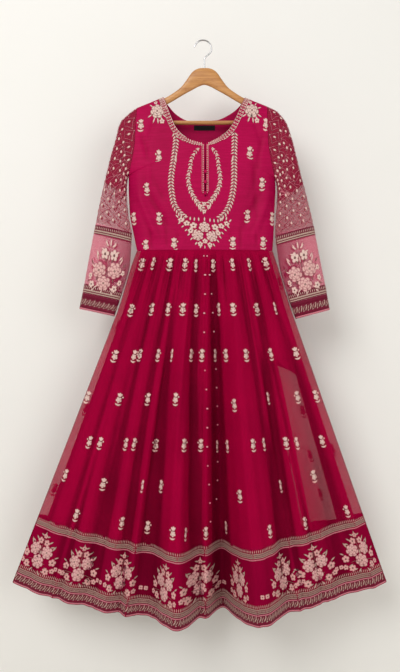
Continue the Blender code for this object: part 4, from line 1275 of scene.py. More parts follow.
@dataclass
class Needlework:
    """Lays embroidered motifs on cloth with one Geometry Nodes tree."""

    book: MotifBook
    thread: bpy.types.Material
    collection: bpy.types.Collection = field(init=False)
    tree: bpy.types.NodeTree = field(init=False)
    sockets: dict[str, str] = field(init=False, default_factory=dict)

    def __post_init__(self) -> None:
        """Draws the motifs and builds the tree."""
        self.collection = bpy.data.collections.new("motifs")
        for motif in Motif:
            self.book.draw(motif).finish(f"motif_{motif.value:02d}_{motif.name.lower()}", self.collection)
        self.tree = bpy.data.node_groups.new("embroidery on cloth", "GeometryNodeTree")
        kinds = {"Geometry": "Geometry", "Motifs": "Collection", "Cloth": "Object", "Lift": "Float",
                 "Thread": "Material"}
        for name, kind in kinds.items():
            socket = self.tree.interface.new_socket(name, in_out="INPUT", socket_type=f"NodeSocket{kind}")
            self.sockets[name] = socket.identifier
        self.tree.interface.new_socket("Geometry", in_out="OUTPUT", socket_type="NodeSocketGeometry")
        self.build()

    def read(self, name: str, kind: str) -> Any:
        """The output socket of a named attribute."""
        node = add_node(self.tree, "GeometryNodeInputNamedAttribute", {"data_type": kind, "Name": name}, {})
        return socket_of(node.outputs, "Attribute")

    def maths(self, operation: str, first: Any, second: Any) -> Any:
        """The vector output of a vector sum on two sockets."""
        kind = "ShaderNodeVectorMath"
        key = "Scale" if operation == "SCALE" else 1
        node = add_node(self.tree, kind, {"operation": operation}, {0: first, key: second})
        return node.outputs["Vector"]

    def build(self) -> None:
        """Builds the tree: instances at each point, made real, then bent onto the cloth through its pattern."""
        tree = self.tree
        given = add_node(tree, "NodeGroupInput", {}, {}).outputs
        motifs = add_node(tree, "GeometryNodeCollectionInfo", {"Separate Children": True, "Reset Children": True},
                          {"Collection": given["Motifs"]})
        turn = add_node(tree, "ShaderNodeCombineXYZ", {}, {"Z": self.read("turn", "FLOAT")})
        placed = add_node(tree, "GeometryNodeInstanceOnPoints", {"Pick Instance": True}, {
            "Points": given["Geometry"], "Instance": motifs.outputs[0], "Instance Index": self.read("motif", "INT"),
            "Rotation": turn.outputs[0], "Scale": self.read("size", "FLOAT_VECTOR"),
        })
        real = add_node(tree, "GeometryNodeRealizeInstances", {}, {"Geometry": placed.outputs[0]})
        position = add_node(tree, "GeometryNodeInputPosition", {}, {})
        split = add_node(tree, "ShaderNodeSeparateXYZ", {}, {0: position.outputs[0]})
        rightward = self.maths("SCALE", self.read("across", "FLOAT_VECTOR"), split.outputs["X"])
        upward = self.maths("SCALE", self.read("upward", "FLOAT_VECTOR"), split.outputs["Y"])
        place = self.maths("ADD", self.read("centre", "FLOAT_VECTOR"), self.maths("ADD", rightward, upward))
        cloth = add_node(tree, "GeometryNodeObjectInfo", {}, {"Object": given["Cloth"]})
        cloth_mesh = socket_of(cloth.outputs, "Geometry")
        found = {}
        for name, value in (("base", position.outputs[0]), ("normal", self.read("outward", "FLOAT_VECTOR"))):
            node = tree.nodes.new("GeometryNodeSampleUVSurface")
            node.data_type = "FLOAT_VECTOR"
            sockets = [socket for socket in node.inputs if socket.enabled]
            for socket, source in zip(sockets, (cloth_mesh, value, self.read("pattern", "FLOAT_VECTOR"), place)):
                tree.links.new(source, socket)
            found[name] = node
        off = add_node(tree, "FunctionNodeBooleanMath", {"operation": "NOT"},
                       {0: socket_of(found["base"].outputs, "Is Valid")})
        height = add_node(tree, "ShaderNodeMath", {"operation": "MULTIPLY_ADD", 1: METRES},
                          {0: split.outputs["Z"], 2: given["Lift"]})
        raised = self.maths("SCALE", socket_of(found["normal"].outputs, "Value"), height.outputs[0])
        target = self.maths("ADD", socket_of(found["base"].outputs, "Value"), raised)
        kept = add_node(tree, "GeometryNodeStoreNamedAttribute",
                        {"data_type": "FLOAT_VECTOR", "domain": "POINT", "Name": "target"},
                        {"Geometry": real.outputs[0], "Value": target})
        trimmed = add_node(tree, "GeometryNodeDeleteGeometry", {"domain": "POINT"},
                           {"Geometry": kept.outputs[0], "Selection": off.outputs[0]})
        moved = add_node(tree, "GeometryNodeSetPosition", {},
                         {"Geometry": trimmed.outputs[0], "Position": self.read("target", "FLOAT_VECTOR")})
        dressed = add_node(tree, "GeometryNodeSetMaterial", {},
                           {"Geometry": moved.outputs[0], "Material": given["Thread"]})
        add_node(tree, "NodeGroupOutput", {}, {"Geometry": dressed.outputs[0]})

    def lay(self, name: str, chart: Chart, placed: list[Placed], lift: float,
            finish: bpy.types.Material | None = None) -> bpy.types.Object:
        """Embroiders motifs on a cloth.

        Args:
            name: the new piece's name.
            chart: the cloth.
            placed: the motifs with their places.
            lift: how far their undersides stand off the cloth's middle, in millimetres.
            finish: another material than thread.

        Returns:
            The piece, as a plain mesh.
        """
        cloth = chart.layer()
        mesh = bpy.data.meshes.new(name)
        mesh.from_pydata([(0, 0, 0)] * len(placed), [], [])
        axes = [chart.axes(spot.u, spot.v, spot.upright) for spot in placed]
        values = {
            "centre": ("FLOAT_VECTOR", "vector", [(spot.u, spot.v, 0) for spot in placed]),
            "across": ("FLOAT_VECTOR", "vector", [(*axis[3], 0) for axis in axes]),
            "upward": ("FLOAT_VECTOR", "vector", [(*axis[4], 0) for axis in axes]),
            "size": ("FLOAT_VECTOR", "vector", [(spot.width, spot.height, 1) for spot in placed]),
            "turn": ("FLOAT", "value", [spot.turn for spot in placed]),
            "motif": ("INT", "value", [spot.motif.value for spot in placed]),
        }
        for key, (kind, part, rows) in values.items():
            attribute = mesh.attributes.new(key, kind, "POINT")
            attribute.data.foreach_set(part, np.array(rows, np.int32 if kind == "INT" else np.float32).ravel())
        item = linked(name, mesh)
        modifier = item.modifiers.new("embroidery", "NODES")
        modifier.node_group = self.tree
        modifier[self.sockets["Motifs"]] = self.collection
        modifier[self.sockets["Cloth"]] = cloth
        modifier[self.sockets["Lift"]] = lift * METRES
        modifier[self.sockets["Thread"]] = finish or self.thread
        bpy.context.view_layer.update()
        evaluated = item.evaluated_get(bpy.context.evaluated_depsgraph_get())
        made = bpy.data.meshes.new_from_object(evaluated)
        item.modifiers.remove(modifier)
        item.data = made
        for attribute in list(made.attributes):
            if attribute.name in values or attribute.name in ("target", "pattern", "outward"):
                made.attributes.remove(attribute)
        bpy.data.objects.remove(cloth)
        LOG.info("%s: %d motifs, %d faces", name, len(placed), len(made.polygons))
        return item

    def put_away(self) -> None:
        """Removes the motifs and the tree once every piece is plain mesh."""
        for item in list(self.collection.objects):
            bpy.data.objects.remove(item)
        bpy.data.collections.remove(self.collection)
        bpy.data.node_groups.remove(self.tree)


@dataclass
class Workroom:
    """What every sub-assembly needs: the finishes, the needlework and how pieces join the frame."""

    finishes: dict[str, bpy.types.Material]
    needlework: Needlework
    silk_thickness: float = 0.9
    net_thickness: float = 0.5
    lining_thickness: float = 0.8
    stitch_lift: float = 0.12
    least_cut: float = 0.0101

    def join(self, item: bpy.types.Object, slot: str, *nodes: str) -> bpy.types.Object:
        """Makes a piece ride the part and stand for CAD nodes."""
        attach(item, "root")
        if nodes:
            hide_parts(*nodes)
        LOG.info("%s made", item.name)
        return item

    def embroider(self, name: str, chart: Chart, placed: list[Placed], surface: float) -> bpy.types.Object:
        """Stitches motifs on a cloth whose surface stands that far off its middle."""
        return self.join(self.needlework.lay(name, chart, placed, self.stitch_lift + surface), "embroidery")

    def cloth(self, chart: Chart, finish: str, thickness: float, slot: str, held: str, rests_on: list[str],
              nodes: tuple[str, ...], offset: float = 0.0, stitched: list[bpy.types.Object] | None = None
              ) -> bpy.types.Object:
        """Makes a cloth piece.

        Args:
            chart: its points.
            finish: its material's name.
            thickness: its thickness.
            slot: the record's slot; not used.
            held: how it is held; not used.
            rests_on: what it hangs from or lies on; not used.
            nodes: the CAD nodes that it replaces.
            offset: how far it stands out along its normals.
            stitched: embroidery on it; not used.

        Returns:
            The piece.
        """
        item = self.join(chart.shell(thickness, self.finishes[finish], offset), slot, *nodes)
        across = np.linalg.norm(np.diff(chart.points, axis=1), axis=2).sum(axis=1).max() * METRES
        across = max(across, self.least_cut)
        return item


# ---- the hanger


@dataclass(frozen=True)
class WoodSection:
    """A section of the hanger's wood at a distance from its middle."""

    reach: float
    top: float
    low: float
    half: float


@dataclass
class Hanger:
    """The arched beech arms, the round bar between their ends, and the plated wire hook."""

    middle: float = 3.6
    squareness: float = 0.85
    sides: int = 40
    bar_radius: float = 5.0
    bar_height: float = -208.5
    bar_reach: float = 184.4
    bar_ends: tuple[tuple[float, float], ...] = ((0.0, 0.75), (0.5, 0.93), (1.4, 1.0))
    bar_straight: float = 20.0
    bar_rings_between: int = 12
    wire_radius: float = 1.9
    bend_radius: float = 21.5
    stem_top: float = -48.0
    bend_start: float = -12.0
    join_angle: float = -18.0
    stem_pull: float = 9.0
    bend_pull: float = 10.0
    tip_angle: float = 152.0
    tip_length: float = 7.0
    tip_narrowing: float = 0.7
    wire_sides: int = 20
    steps: int = 6
    sections: tuple[WoodSection, ...] = (
        WoodSection(0.0, -69.0, -112.0, 6.0), WoodSection(16.0, -70.6, -117.0, 6.0),
        WoodSection(31.0, -79.6, -125.0, 6.0), WoodSection(46.0, -100.4, -133.0, 6.0),
        WoodSection(60.0, -118.4, -141.0, 6.0), WoodSection(80.0, -133.6, -153.0, 5.8),
        WoodSection(102.0, -146.4, -165.0, 5.0), WoodSection(135.0, -159.8, -179.0, 5.0),
        WoodSection(166.0, -175.0, -192.0, 5.0), WoodSection(184.0, -188.5, -200.0, 5.0),
        WoodSection(187.0, -191.0, -216.0, 5.0), WoodSection(196.0, -200.0, -215.0, 5.0),
        WoodSection(203.0, -208.0, -213.0, 3.5),
    )

    def build(self, room: Workroom) -> None:
        """Makes the three parts."""
        for name, rings, finish, slot, node in (
            ("wood_arms", self.wood_rings(), "beech", "wood", "hanger_wood"),
            ("wood_bar", self.bar_rings(), "beech", "wood", "hanger_bar"),
            ("wire_hook", self.hook_rings(), "plate", "chrome", "hanger_hook"),
        ):
            room.join(self.tube(name, rings, room.finishes[finish]), slot, node)

    def wood_rings(self) -> np.ndarray:
        """Rings round the wood from its left tip to its right one."""
        rows = [(-s.reach, s.top, s.low, s.half) for s in reversed(self.sections[1:])]
        rows += [(s.reach, s.top, s.low, s.half) for s in self.sections]
        shape = resample(np.array(rows), np.linspace(0, len(rows) - 1, self.steps * (len(rows) - 1) + 1), 0)
        angles = np.linspace(0, 2 * math.pi, self.sides, endpoint=False)
        wide = np.sign(np.cos(angles)) * np.abs(np.cos(angles)) ** self.squareness
        high = np.sign(np.sin(angles)) * np.abs(np.sin(angles)) ** self.squareness
        rings = np.empty((len(shape), self.sides, 3))
        rings[..., 0] = self.middle + shape[:, :1]
        rings[..., 1] = shape[:, 3:] * wide
        rings[..., 2] = (shape[:, 1:2] + shape[:, 2:3]) / 2 + (shape[:, 1:2] - shape[:, 2:3]) / 2 * high
        return rings

    def bar_rings(self) -> np.ndarray:
        """Rings of the bar, with a small round at each end."""
        ends = [(inwards - self.bar_reach, size) for inwards, size in self.bar_ends]
        straight = self.bar_reach - self.bar_straight
        rows = np.array(ends + [(x, 1.0) for x in np.linspace(-straight, straight, self.bar_rings_between)]
                        + [(-x, size) for x, size in reversed(ends)])
        angles = np.linspace(0, 2 * math.pi, self.sides, endpoint=False)
        rings = np.empty((len(rows), self.sides, 3))
        rings[..., 0] = self.middle + rows[:, :1]
        rings[..., 1] = rows[:, 1:] * self.bar_radius * np.cos(angles)
        rings[..., 2] = self.bar_height + rows[:, 1:] * self.bar_radius * np.sin(angles)
        return rings

    def hook_route(self) -> np.ndarray:
        """The wire's middle line, from the wood up its stem, over its bend and out to its tip."""
        centre = self.wire_radius - self.bend_radius
        foot = self.sections[0].top - 1.0
        join = math.radians(self.join_angle)
        start = np.array([self.middle, self.stem_top])
        end = np.array([self.bend_radius * math.cos(join), centre + self.bend_radius * math.sin(join)])
        swing = self.bend_pull * np.array([math.sin(join), -math.cos(join)])
        route = [np.array([self.middle, height]) for height in np.linspace(foot, self.stem_top, 5)[:-1]]
        for part in np.linspace(0, 1, 14):
            first = (1 - part) ** 3 * start + 3 * (1 - part) ** 2 * part * (start + np.array([0, self.stem_pull]))
            route.append(first + 3 * (1 - part) * part**2 * (end + swing) + part**3 * end)
        for angle in np.radians(np.linspace(self.bend_start, self.tip_angle, 46)):
            route.append(np.array([math.cos(angle), math.sin(angle)]) * self.bend_radius + np.array([0, centre]))
        tip = math.radians(self.tip_angle)
        for part in (0.5, 1.0):
            away = self.tip_length * part * np.array([-math.sin(tip), math.cos(tip)])
            route.append(np.array([math.cos(tip), math.sin(tip)]) * self.bend_radius + np.array([0, centre]) + away)
        return np.array(route)

    def hook_rings(self) -> np.ndarray:
        """Rings along the wire, rounded at its tip."""
        route = self.hook_route()
        along = np.gradient(route, axis=0)
        along = along / np.linalg.norm(along, axis=1, keepdims=True)
        beside = np.stack([along[:, 1], -along[:, 0]], axis=1)
        angles = np.linspace(0, 2 * math.pi, self.wire_sides, endpoint=False)
        radius = np.full(len(route), self.wire_radius)
        radius[-1] *= self.tip_narrowing
        rings = np.empty((len(route), len(angles), 3))
        rings[..., 0] = route[:, :1] + beside[:, :1] * radius[:, None] * np.cos(angles)
        rings[..., 1] = radius[:, None] * np.sin(angles)
        rings[..., 2] = route[:, 1:] + beside[:, 1:] * radius[:, None] * np.cos(angles)
        return rings

    def tube(self, name: str, rings: np.ndarray, material: bpy.types.Material) -> bpy.types.Object:
        """Makes a closed solid from rings, with its faces outward.

        Args:
            name: the object's name.
            rings: rings of points in millimetres.
            material: its finish.

        Returns:
            The object.
        """
        count, sides = rings.shape[:2]
        faces = [tuple(range(sides))[::-1], tuple(range((count - 1) * sides, count * sides))]
        for ring in range(count - 1):
            for corner in range(sides):
                first, second = ring * sides + corner, ring * sides + (corner + 1) % sides
                faces.append((first, second, second + sides, first + sides))
        mesh = bpy.data.meshes.new(name)
        mesh.from_pydata((rings.reshape(-1, 3) * METRES).tolist(), [], faces)
        work = bmesh.new()
        work.from_mesh(mesh)
        bmesh.ops.recalc_face_normals(work, faces=work.faces)
        work.to_mesh(mesh)
        work.free()
        mesh.shade_smooth()
        mesh.set_sharp_from_angle(angle=SHARP_WOOD)
        mesh.materials.append(material)
        return linked(name, mesh)


# ---- the skirt


@dataclass(frozen=True)
class Fold:
    """A fold of the skirt, as slopes from the fan point; a negative depth stands towards the viewer."""

    waist_slope: float
    hem_slope: float
    reach_left: float
    reach_right: float
    depth: float
    start: float
    end: float = 9.0


@dataclass
class SkirtShape:
    """The skirt as a fan from one point above the waist; a slope is the sideways run for each millimetre down."""

    fan_x: float = 15.3
    fan_z: float = -89.2
    waist_drop: float = 446.0
    slopes: tuple[float, float] = (-0.388, 0.351)
    waist_slopes: tuple[float, float] = (-0.411, 0.362)
    hip_drop: float = 170.0
    radii: tuple[float, float] = (1384.0, 1366.0)
    panel_height: float = 184.0
    waist_depths: tuple[float, float] = (26.0, 22.0)
    hem_depths: tuple[float, float] = (22.0, 56.0)
    side_roundness: float = 0.8
    fold_growth: float = 0.8
    side_taper: float = 0.12
    side_crowding: float = 0.28
    waist_crowding: float = 1.2
    margin_start: float = 0.72
    margin_reach: float = 0.28
    open_drift: float = -0.020
    open_middle: float = 0.27
    open_reach: tuple[float, float] = (0.09, 0.06)
    gathers: int = 11
    gather_depth: float = 3.0
    gather_peak: float = 0.08
    gather_fade: float = 0.32
    pucker_rise: float = 0.035
    pucker_peak: float = 0.04
    ripples: int = 30
    ripple_span: tuple[float, float] = (-0.37, 0.34)
    puckers: int = 58
    pucker_span: tuple[float, float] = (-0.385, 0.34)
    waist_gap: float = 0.6
    seam_gap: float = 0.3
    wall: float = 1.0
    seed: int = 4
    front: tuple[Fold, ...] = (
        Fold(-0.360, -0.335, 0.030, 0.035, -12, 0.10), Fold(-0.310, -0.262, 0.030, 0.030, -14, 0.20),
        Fold(-0.235, -0.190, 0.028, 0.025, -16, 0.12), Fold(-0.175, -0.150, 0.022, 0.020, -24, 0.08),
        Fold(-0.110, -0.058, 0.060, 0.055, -80, 0.00), Fold(-0.075, -0.022, 0.022, 0.022, 14, 0.00),
        Fold(0.027, 0.026, 0.036, 0.028, 66, 0.00), Fold(0.100, 0.092, 0.055, 0.090, -78, 0.00),
        Fold(0.228, 0.137, 0.028, 0.028, 16, 0.00), Fold(0.280, 0.182, 0.032, 0.036, -14, 0.08),
        Fold(0.320, 0.260, 0.045, 0.050, 20, 0.20),
    )
    back: tuple[Fold, ...] = (
        Fold(-0.310, -0.290, 0.040, 0.040, 24, 0.12), Fold(-0.205, -0.185, 0.045, 0.048, 46, 0.00),
        Fold(-0.085, -0.080, 0.050, 0.045, 56, 0.00), Fold(0.030, 0.028, 0.048, 0.048, 50, 0.00),
        Fold(0.140, 0.130, 0.045, 0.050, 58, 0.00), Fold(0.245, 0.235, 0.045, 0.042, 34, 0.08),
    )

    def __post_init__(self) -> None:
        """Draws the small uneven folds and waist gathers that lie over the main folds."""
        chance = np.random.default_rng(self.seed)
        self.small = {side: self.small_folds(chance) for side in Side}

    def small_folds(self, chance: np.random.Generator) -> list[Fold]:
        """Long shallow ripples down the skirt, then short tight puckers under the waist."""
        folds = []
        for middle in np.linspace(*self.ripple_span, self.ripples) + chance.uniform(-0.009, 0.009, self.ripples):
            reach, depth = chance.uniform(0.008, 0.015), chance.uniform(2.4, 6.4) * chance.choice((-1, 1))
            low = middle * chance.uniform(0.94, 1.0)
            folds.append(Fold(middle, low, reach, reach * 1.2, depth, chance.uniform(0.0, 0.35)))
        for middle in np.linspace(*self.pucker_span, self.puckers) + chance.uniform(-0.003, 0.003, self.puckers):
            reach, depth = chance.uniform(0.0050, 0.0085), chance.uniform(1.6, 3.6)
            end = chance.uniform(0.12, 0.55)
            folds.append(Fold(middle, middle * 0.98, reach, reach, depth, 0.0, end))
        return folds

    def side_slopes(self, fall: np.ndarray) -> tuple[np.ndarray, np.ndarray]:
        """The slopes of the left and right edges at a fraction of the way from waist to hem."""
        settled = ease(fall * (0.96 * self.radii[0] - self.waist_drop) / self.hip_drop)
        left, right = (start + (end - start) * settled for start, end in zip(self.waist_slopes, self.slopes))
        return left, right

    def hem_drop(self, slope: np.ndarray, shorter: float = 0.0) -> np.ndarray:
        """How far below the fan point the hem lies on the line of a slope."""
        along = (slope - self.slopes[0]) / (self.slopes[1] - self.slopes[0])
        return (self.radii[0] + (self.radii[1] - self.radii[0]) * along - shorter) / np.sqrt(1 + slope**2)

    def panel_top(self, place: np.ndarray) -> np.ndarray:
        """The fraction of the way down at which the hem panel is sewn on."""
        slope = (self.slopes[0] + self.slopes[1]) / 2 + (self.slopes[1] - self.slopes[0]) / 2 * place
        return (self.hem_drop(slope, self.panel_height) - self.waist_drop) / (self.hem_drop(slope) - self.waist_drop)

    def depth(self, place: np.ndarray, across: np.ndarray, slope: np.ndarray, fall: np.ndarray, side: Side
              ) -> np.ndarray:
        """How far points stand out from the side edges' plane, towards their own side.

        Args:
            place: the points' places between the piece's own edges, from -1 to 1.
            across: their places between the skirt's edges.
            slope: their slopes.
            fall: their fractions of the way down.
            side: front or back.

        Returns:
            The depths.
        """
        front = side is Side.FRONT
        number = 0 if front else 1
        base = self.waist_depths[number] + (self.hem_depths[number] - self.waist_depths[number]) * fall
        folded = np.zeros_like(slope)
        for fold in (self.front if front else self.back) + tuple(self.small[side]):
            middle = fold.waist_slope + (fold.hem_slope - fold.waist_slope) * fall
            grown = np.clip((fall - fold.start) / (1 - fold.start), 0, 1) ** self.fold_growth
            if fold.end < 1:
                fading = ease((fall - self.pucker_peak) / (fold.end - self.pucker_peak))
                grown = ease(fall / self.pucker_rise) * (1 - fading)
            outward = -fold.depth if front else fold.depth
            folded = folded + outward * grown * bell(slope - middle, fold.reach_left, fold.reach_right)
        rising = ease(fall / self.gather_peak) * (1 - ease((fall - self.gather_peak) / self.gather_fade))
        gathers = self.gather_depth * rising * np.cos(self.gathers * math.pi * across)
        taper = ease((1 - np.abs(place)) / self.side_taper)
        return base * np.clip(1 - place**2, 0, 1) ** (self.side_roundness / 2) + (folded + gathers) * taper

    def point(self, place: np.ndarray, fall: np.ndarray, side: Side, margin: float = 0.0, shorter: float = 0.0
              ) -> np.ndarray:
        """Points of the skirt.

        Args:
            place: from -1 at the left edge to 1 at the right edge.
            fall: fraction of the way from waist to hem.
            side: front or back.
            margin: how much narrower the piece is at its edges.
            shorter: how much shorter it is at the hem.

        Returns:
            The points in millimetres.
        """
        left, right = self.side_slopes(fall)
        middle, half = (left + right) / 2, (right - left) / 2
        drawn_in = place - margin * np.sign(place) * ease((np.abs(place) - self.margin_start) / self.margin_reach)
        drift = self.open_drift * fall * bell(middle + half * place - self.open_middle, *self.open_reach)
        slope = middle + half * drawn_in + drift
        drop = self.waist_drop + (self.hem_drop(slope, shorter) - self.waist_drop) * fall
        across = (slope - middle) / half
        depth = self.depth(np.clip(across / (1 - margin), -1, 1), across, slope, fall, side)
        return np.stack([self.fan_x + slope * drop, side.value * depth, self.fan_z - drop], axis=-1)

    def places(self, count: int) -> np.ndarray:
        """Column places, a little closer together towards the side edges."""
        even = np.linspace(-1, 1, count + 1)
        return even * (1 - self.side_crowding) + np.sin(even * math.pi / 2) * self.side_crowding

    def grid(self, places: np.ndarray, falls: np.ndarray, side: Side, margin: float = 0.0, shorter: float = 0.0
             ) -> np.ndarray:
        """Rows of points, with the side edges just off the side seams.

        Args:
            places: the columns' places.
            falls: the fall of each row and column.
            side: front or back.
            margin: how much narrower the piece is.
            shorter: how much shorter it is.

        Returns:
            The grid of points.
        """
        points = self.point(np.broadcast_to(places, falls.shape), falls, side, margin, shorter)
        points[:, [0, -1], 1] = side.value * (self.wall + self.seam_gap) / 2
        return points

    @property
    def length(self) -> float:
        """From waist to hem straight below the fan point."""
        return float(self.hem_drop(np.float64(0.0))) - self.waist_drop

    def net(self, side: Side, columns: int, rows: int) -> np.ndarray:
        """The net above the hem panel."""
        places = self.places(columns)
        start = self.waist_gap / self.length
        part = np.linspace(0, 1, rows)[:, None] ** self.waist_crowding
        end = self.panel_top(places)[None] - self.seam_gap / 2 / self.length
        return self.grid(places, start + (end - start) * part, side)

    def panel(self, side: Side, columns: int, rows: int) -> np.ndarray:
        """The hem panel."""
        places = self.places(columns)
        start = self.panel_top(places)[None] + self.seam_gap / 2 / self.length
        return self.grid(places, start + (1 - start) * np.linspace(0, 1, rows)[:, None], side)


@dataclass
class OpenSide:
    """Where the lining is missing: a wide gap from the hip down, and a narrow streak beside it."""

    edges: tuple[float, float] = (0.238, 0.305)
    back_edges: tuple[float, float] = (0.200, 0.325)
    top: float = 0.315
    slant: float = 0.052
    streak: tuple[float, float] = (0.2068, 0.2152)
    streak_rows: tuple[float, float] = (0.54, 0.80)
    settle: float = 0.31
    slant_reach: float = 0.12


@dataclass
class Skirt:
    """The net skirt with its hem panels over the lining, all gathered to the waist."""

    shape: SkirtShape
    gap: OpenSide = field(default_factory=OpenSide)
    net_steps: tuple[tuple[int, int], ...] = ((250, 100), (170, 70))
    panel_columns: tuple[int, int] = (300, 220)
    panel_rows: int = 26
    lining_columns: int = 150
    lining_rows: int = 78
    lining_crowding: float = 1.1
    lining_overlap: float = 2.5
    lining_inset: float = 3.4
    waist_insets: tuple[float, ...] = (1.6, 2.0, 2.6)
    lining_margin: float = 0.05
    lining_shorter: float = 8.0
    borders: tuple[Border, ...] = (
        Border(169.0, Motif.COMB), Border(37.5, Motif.COMB), Border(18.0, Motif.LEAF_BORDER, 12.0, 0.92),
        Border(3.2, Motif.PINK_RAIL),
    )
    bouquet_pitch: float = 107.0
    bouquet_start: float = 56.0
    bouquet_line: float = 99.0
    bouquet_height: float = 51.0
    link_height: float = 70.0
    link_room: float = 88.0
    back_rows: tuple[float, ...] = (70, 175, 292, 410, 520, 625)
    back_pitch: float = 62.0
    back_start: float = 20.0
    pearl_pitch: float = 48.0
    pearl_size: float = 1.2
    bare_edge: float = 0.005
    butis: tuple[tuple[float, float, float], ...] = (
        (142, 264, 1), (153, 263, 1), (170, 264, 1), (185, 264, 0.9), (196, 265, 0.8), (213, 265, 0.9),
        (232.5, 264, 1), (249, 264, 1), (266, 263, 1),
        (131, 310, 1), (152, 309, 1), (168, 309, 0.8), (183, 309, 1), (196, 310, 0.7), (219, 309, 1), (233, 309, 1),
        (257, 309, 1), (275, 308, 0.5),
        (115, 356, 1), (134, 356, 0.8), (140, 355, 0.8), (158, 355, 1), (172, 355, 0.5), (191, 355, 1),
        (202, 355, 0.8), (215, 355, 0.6), (226, 355, 1), (246, 355, 1), (271, 354, 0.8), (296, 353, 1),
        (87.5, 397, 1), (119, 399, 1), (148, 399, 0.8), (175.5, 399, 1), (234.5, 405, 1), (268, 398, 0.5),
        (297.5, 397, 1), (316, 396, 0.9),
        (89.5, 442, 0.8), (100, 443, 0.9), (126, 444, 0.8), (134, 444, 0.7), (156, 445, 1), (184, 445, 1),
        (201, 445, 0.9), (217, 446, 0.5), (227.5, 446, 0.9), (253, 445, 1), (264, 444, 0.7), (286, 443, 0.9),
        (297, 443, 0.6), (322, 441, 0.9),
        (65.5, 475, 0.8), (103, 484, 1), (142.5, 486, 0.5), (161, 486, 1), (240, 496, 1), (280.5, 486, 0.5),
        (314, 476, 1),
        (76, 515, 0.9), (122, 523, 0.9), (147.5, 527, 0.9), (173, 533, 0.9), (185.5, 534, 0.8), (206, 533, 0.8),
        (226, 527, 0.9), (270, 531, 0.9), (305, 523, 0.9), (347, 511, 0.9),
    )
    pearls: tuple[tuple[Spot, ...], ...] = (
        (Spot(204, 256), Spot(205, 282), Spot(204, 324), Spot(205, 367), Spot(207, 403), Spot(207, 457),
         Spot(209, 494), Spot(210, 526)),
        (Spot(207, 256), Spot(210, 282), Spot(213, 324), Spot(217, 403), Spot(217, 476), Spot(215, 512)),
    )
    bouquets: tuple[tuple[float, float], ...] = (
        (41, 551), (81, 562), (122.5, 567.5), (165, 580), (200, 575), (239, 580), (282.5, 576), (315, 562),
        (359, 550),
    )

    def build(self, room: Workroom) -> None:
        """Makes front and back."""
        for number, side in enumerate(Side):
            word = side.name.lower()
            net = Chart(f"net_skirt_{word}", self.shape.net(side, *self.net_steps[number]), side)
            sewn = self.sew_net(net, side, room)
            room.cloth(net, "skirt_net", room.net_thickness, "net", "gathered", [f"silk_bodice_{word}"],
                       (f"skirt_net_{word}",), stitched=sewn)
            rows = self.shape.panel(side, self.panel_columns[number], self.panel_rows)
            panel = Chart(f"hem_net_{word}", rows, side)
            border = self.sew_panel(panel, side, room)
            room.cloth(panel, "hem_net", room.net_thickness, "panel", "hung", [net.name],
                       (f"hem_panel_{word}",), stitched=border)
            self.line(side, room)

    def sew_net(self, chart: Chart, side: Side, room: Workroom) -> list[bpy.types.Object]:
        """Embroiders the sprigs and pearl lines of the net."""
        placed, beads = [], []
        if side is Side.FRONT:
            for number, (x, y, width) in enumerate(self.butis):
                placed.append(Placed(sprig_of(number), *chart.find(Spot(x, y)), width=width))
            for line in self.pearls:
                beads += [Placed(Motif.BEAD, u, v, width=self.pearl_size, height=self.pearl_size)
                          for u, v, _ in chart.follow(line, self.pearl_pitch)]
        else:
            for row, above in enumerate(self.back_rows):
                start = self.back_start + self.back_pitch / 2 * (row % 2)
                for number, (u, v) in enumerate(chart.run(above, self.back_pitch, start)):
                    placed.append(Placed(sprig_of(number), u, v))
        placed = [spot for spot in placed if self.bare_edge < spot.u < 1 - self.bare_edge]
        made = [room.embroider(f"net_sprigs_{side.name.lower()}", chart, placed, room.net_thickness / 2)]
        if beads:
            pearls = room.needlework.lay("net_pearls", chart, beads, room.net_thickness / 2, room.finishes["pearl"])
            made.append(room.join(pearls, "embroidery"))
        return made

    def sew_panel(self, chart: Chart, side: Side, room: Workroom) -> list[bpy.types.Object]:
        """Embroiders the hem panel: borders along its top and hem, with bouquets between them."""
        placed = [spot for border in self.borders for spot in border.places(chart)]
        if side is Side.FRONT:
            centres = [chart.find(Spot(*spot)) for spot in self.bouquets]
        else:
            centres = chart.run(self.bouquet_line, self.bouquet_pitch, self.bouquet_start)
        placed += [Placed(Motif.BOUQUET, u, self.bouquet_height / chart.height_at(u)) for u, _ in centres]
        along = np.linalg.norm(np.diff(chart.points[chart.points.shape[0] // 2], axis=0), axis=1)
        travel = np.concatenate([[0], np.cumsum(along)])
        spots = np.linspace(0, 1, len(travel))
        ordered = sorted(float(np.interp(u, spots, travel)) for u, _ in centres)
        for before, after in zip(ordered, ordered[1:]):
            if after - before > self.link_room:
                u = float(np.interp((before + after) / 2, travel, spots))
                placed.append(Placed(Motif.LINK_BLOSSOM, u, self.link_height / chart.height_at(u)))
        return [room.embroider(f"hem_border_{side.name.lower()}", chart, placed, room.net_thickness / 2)]

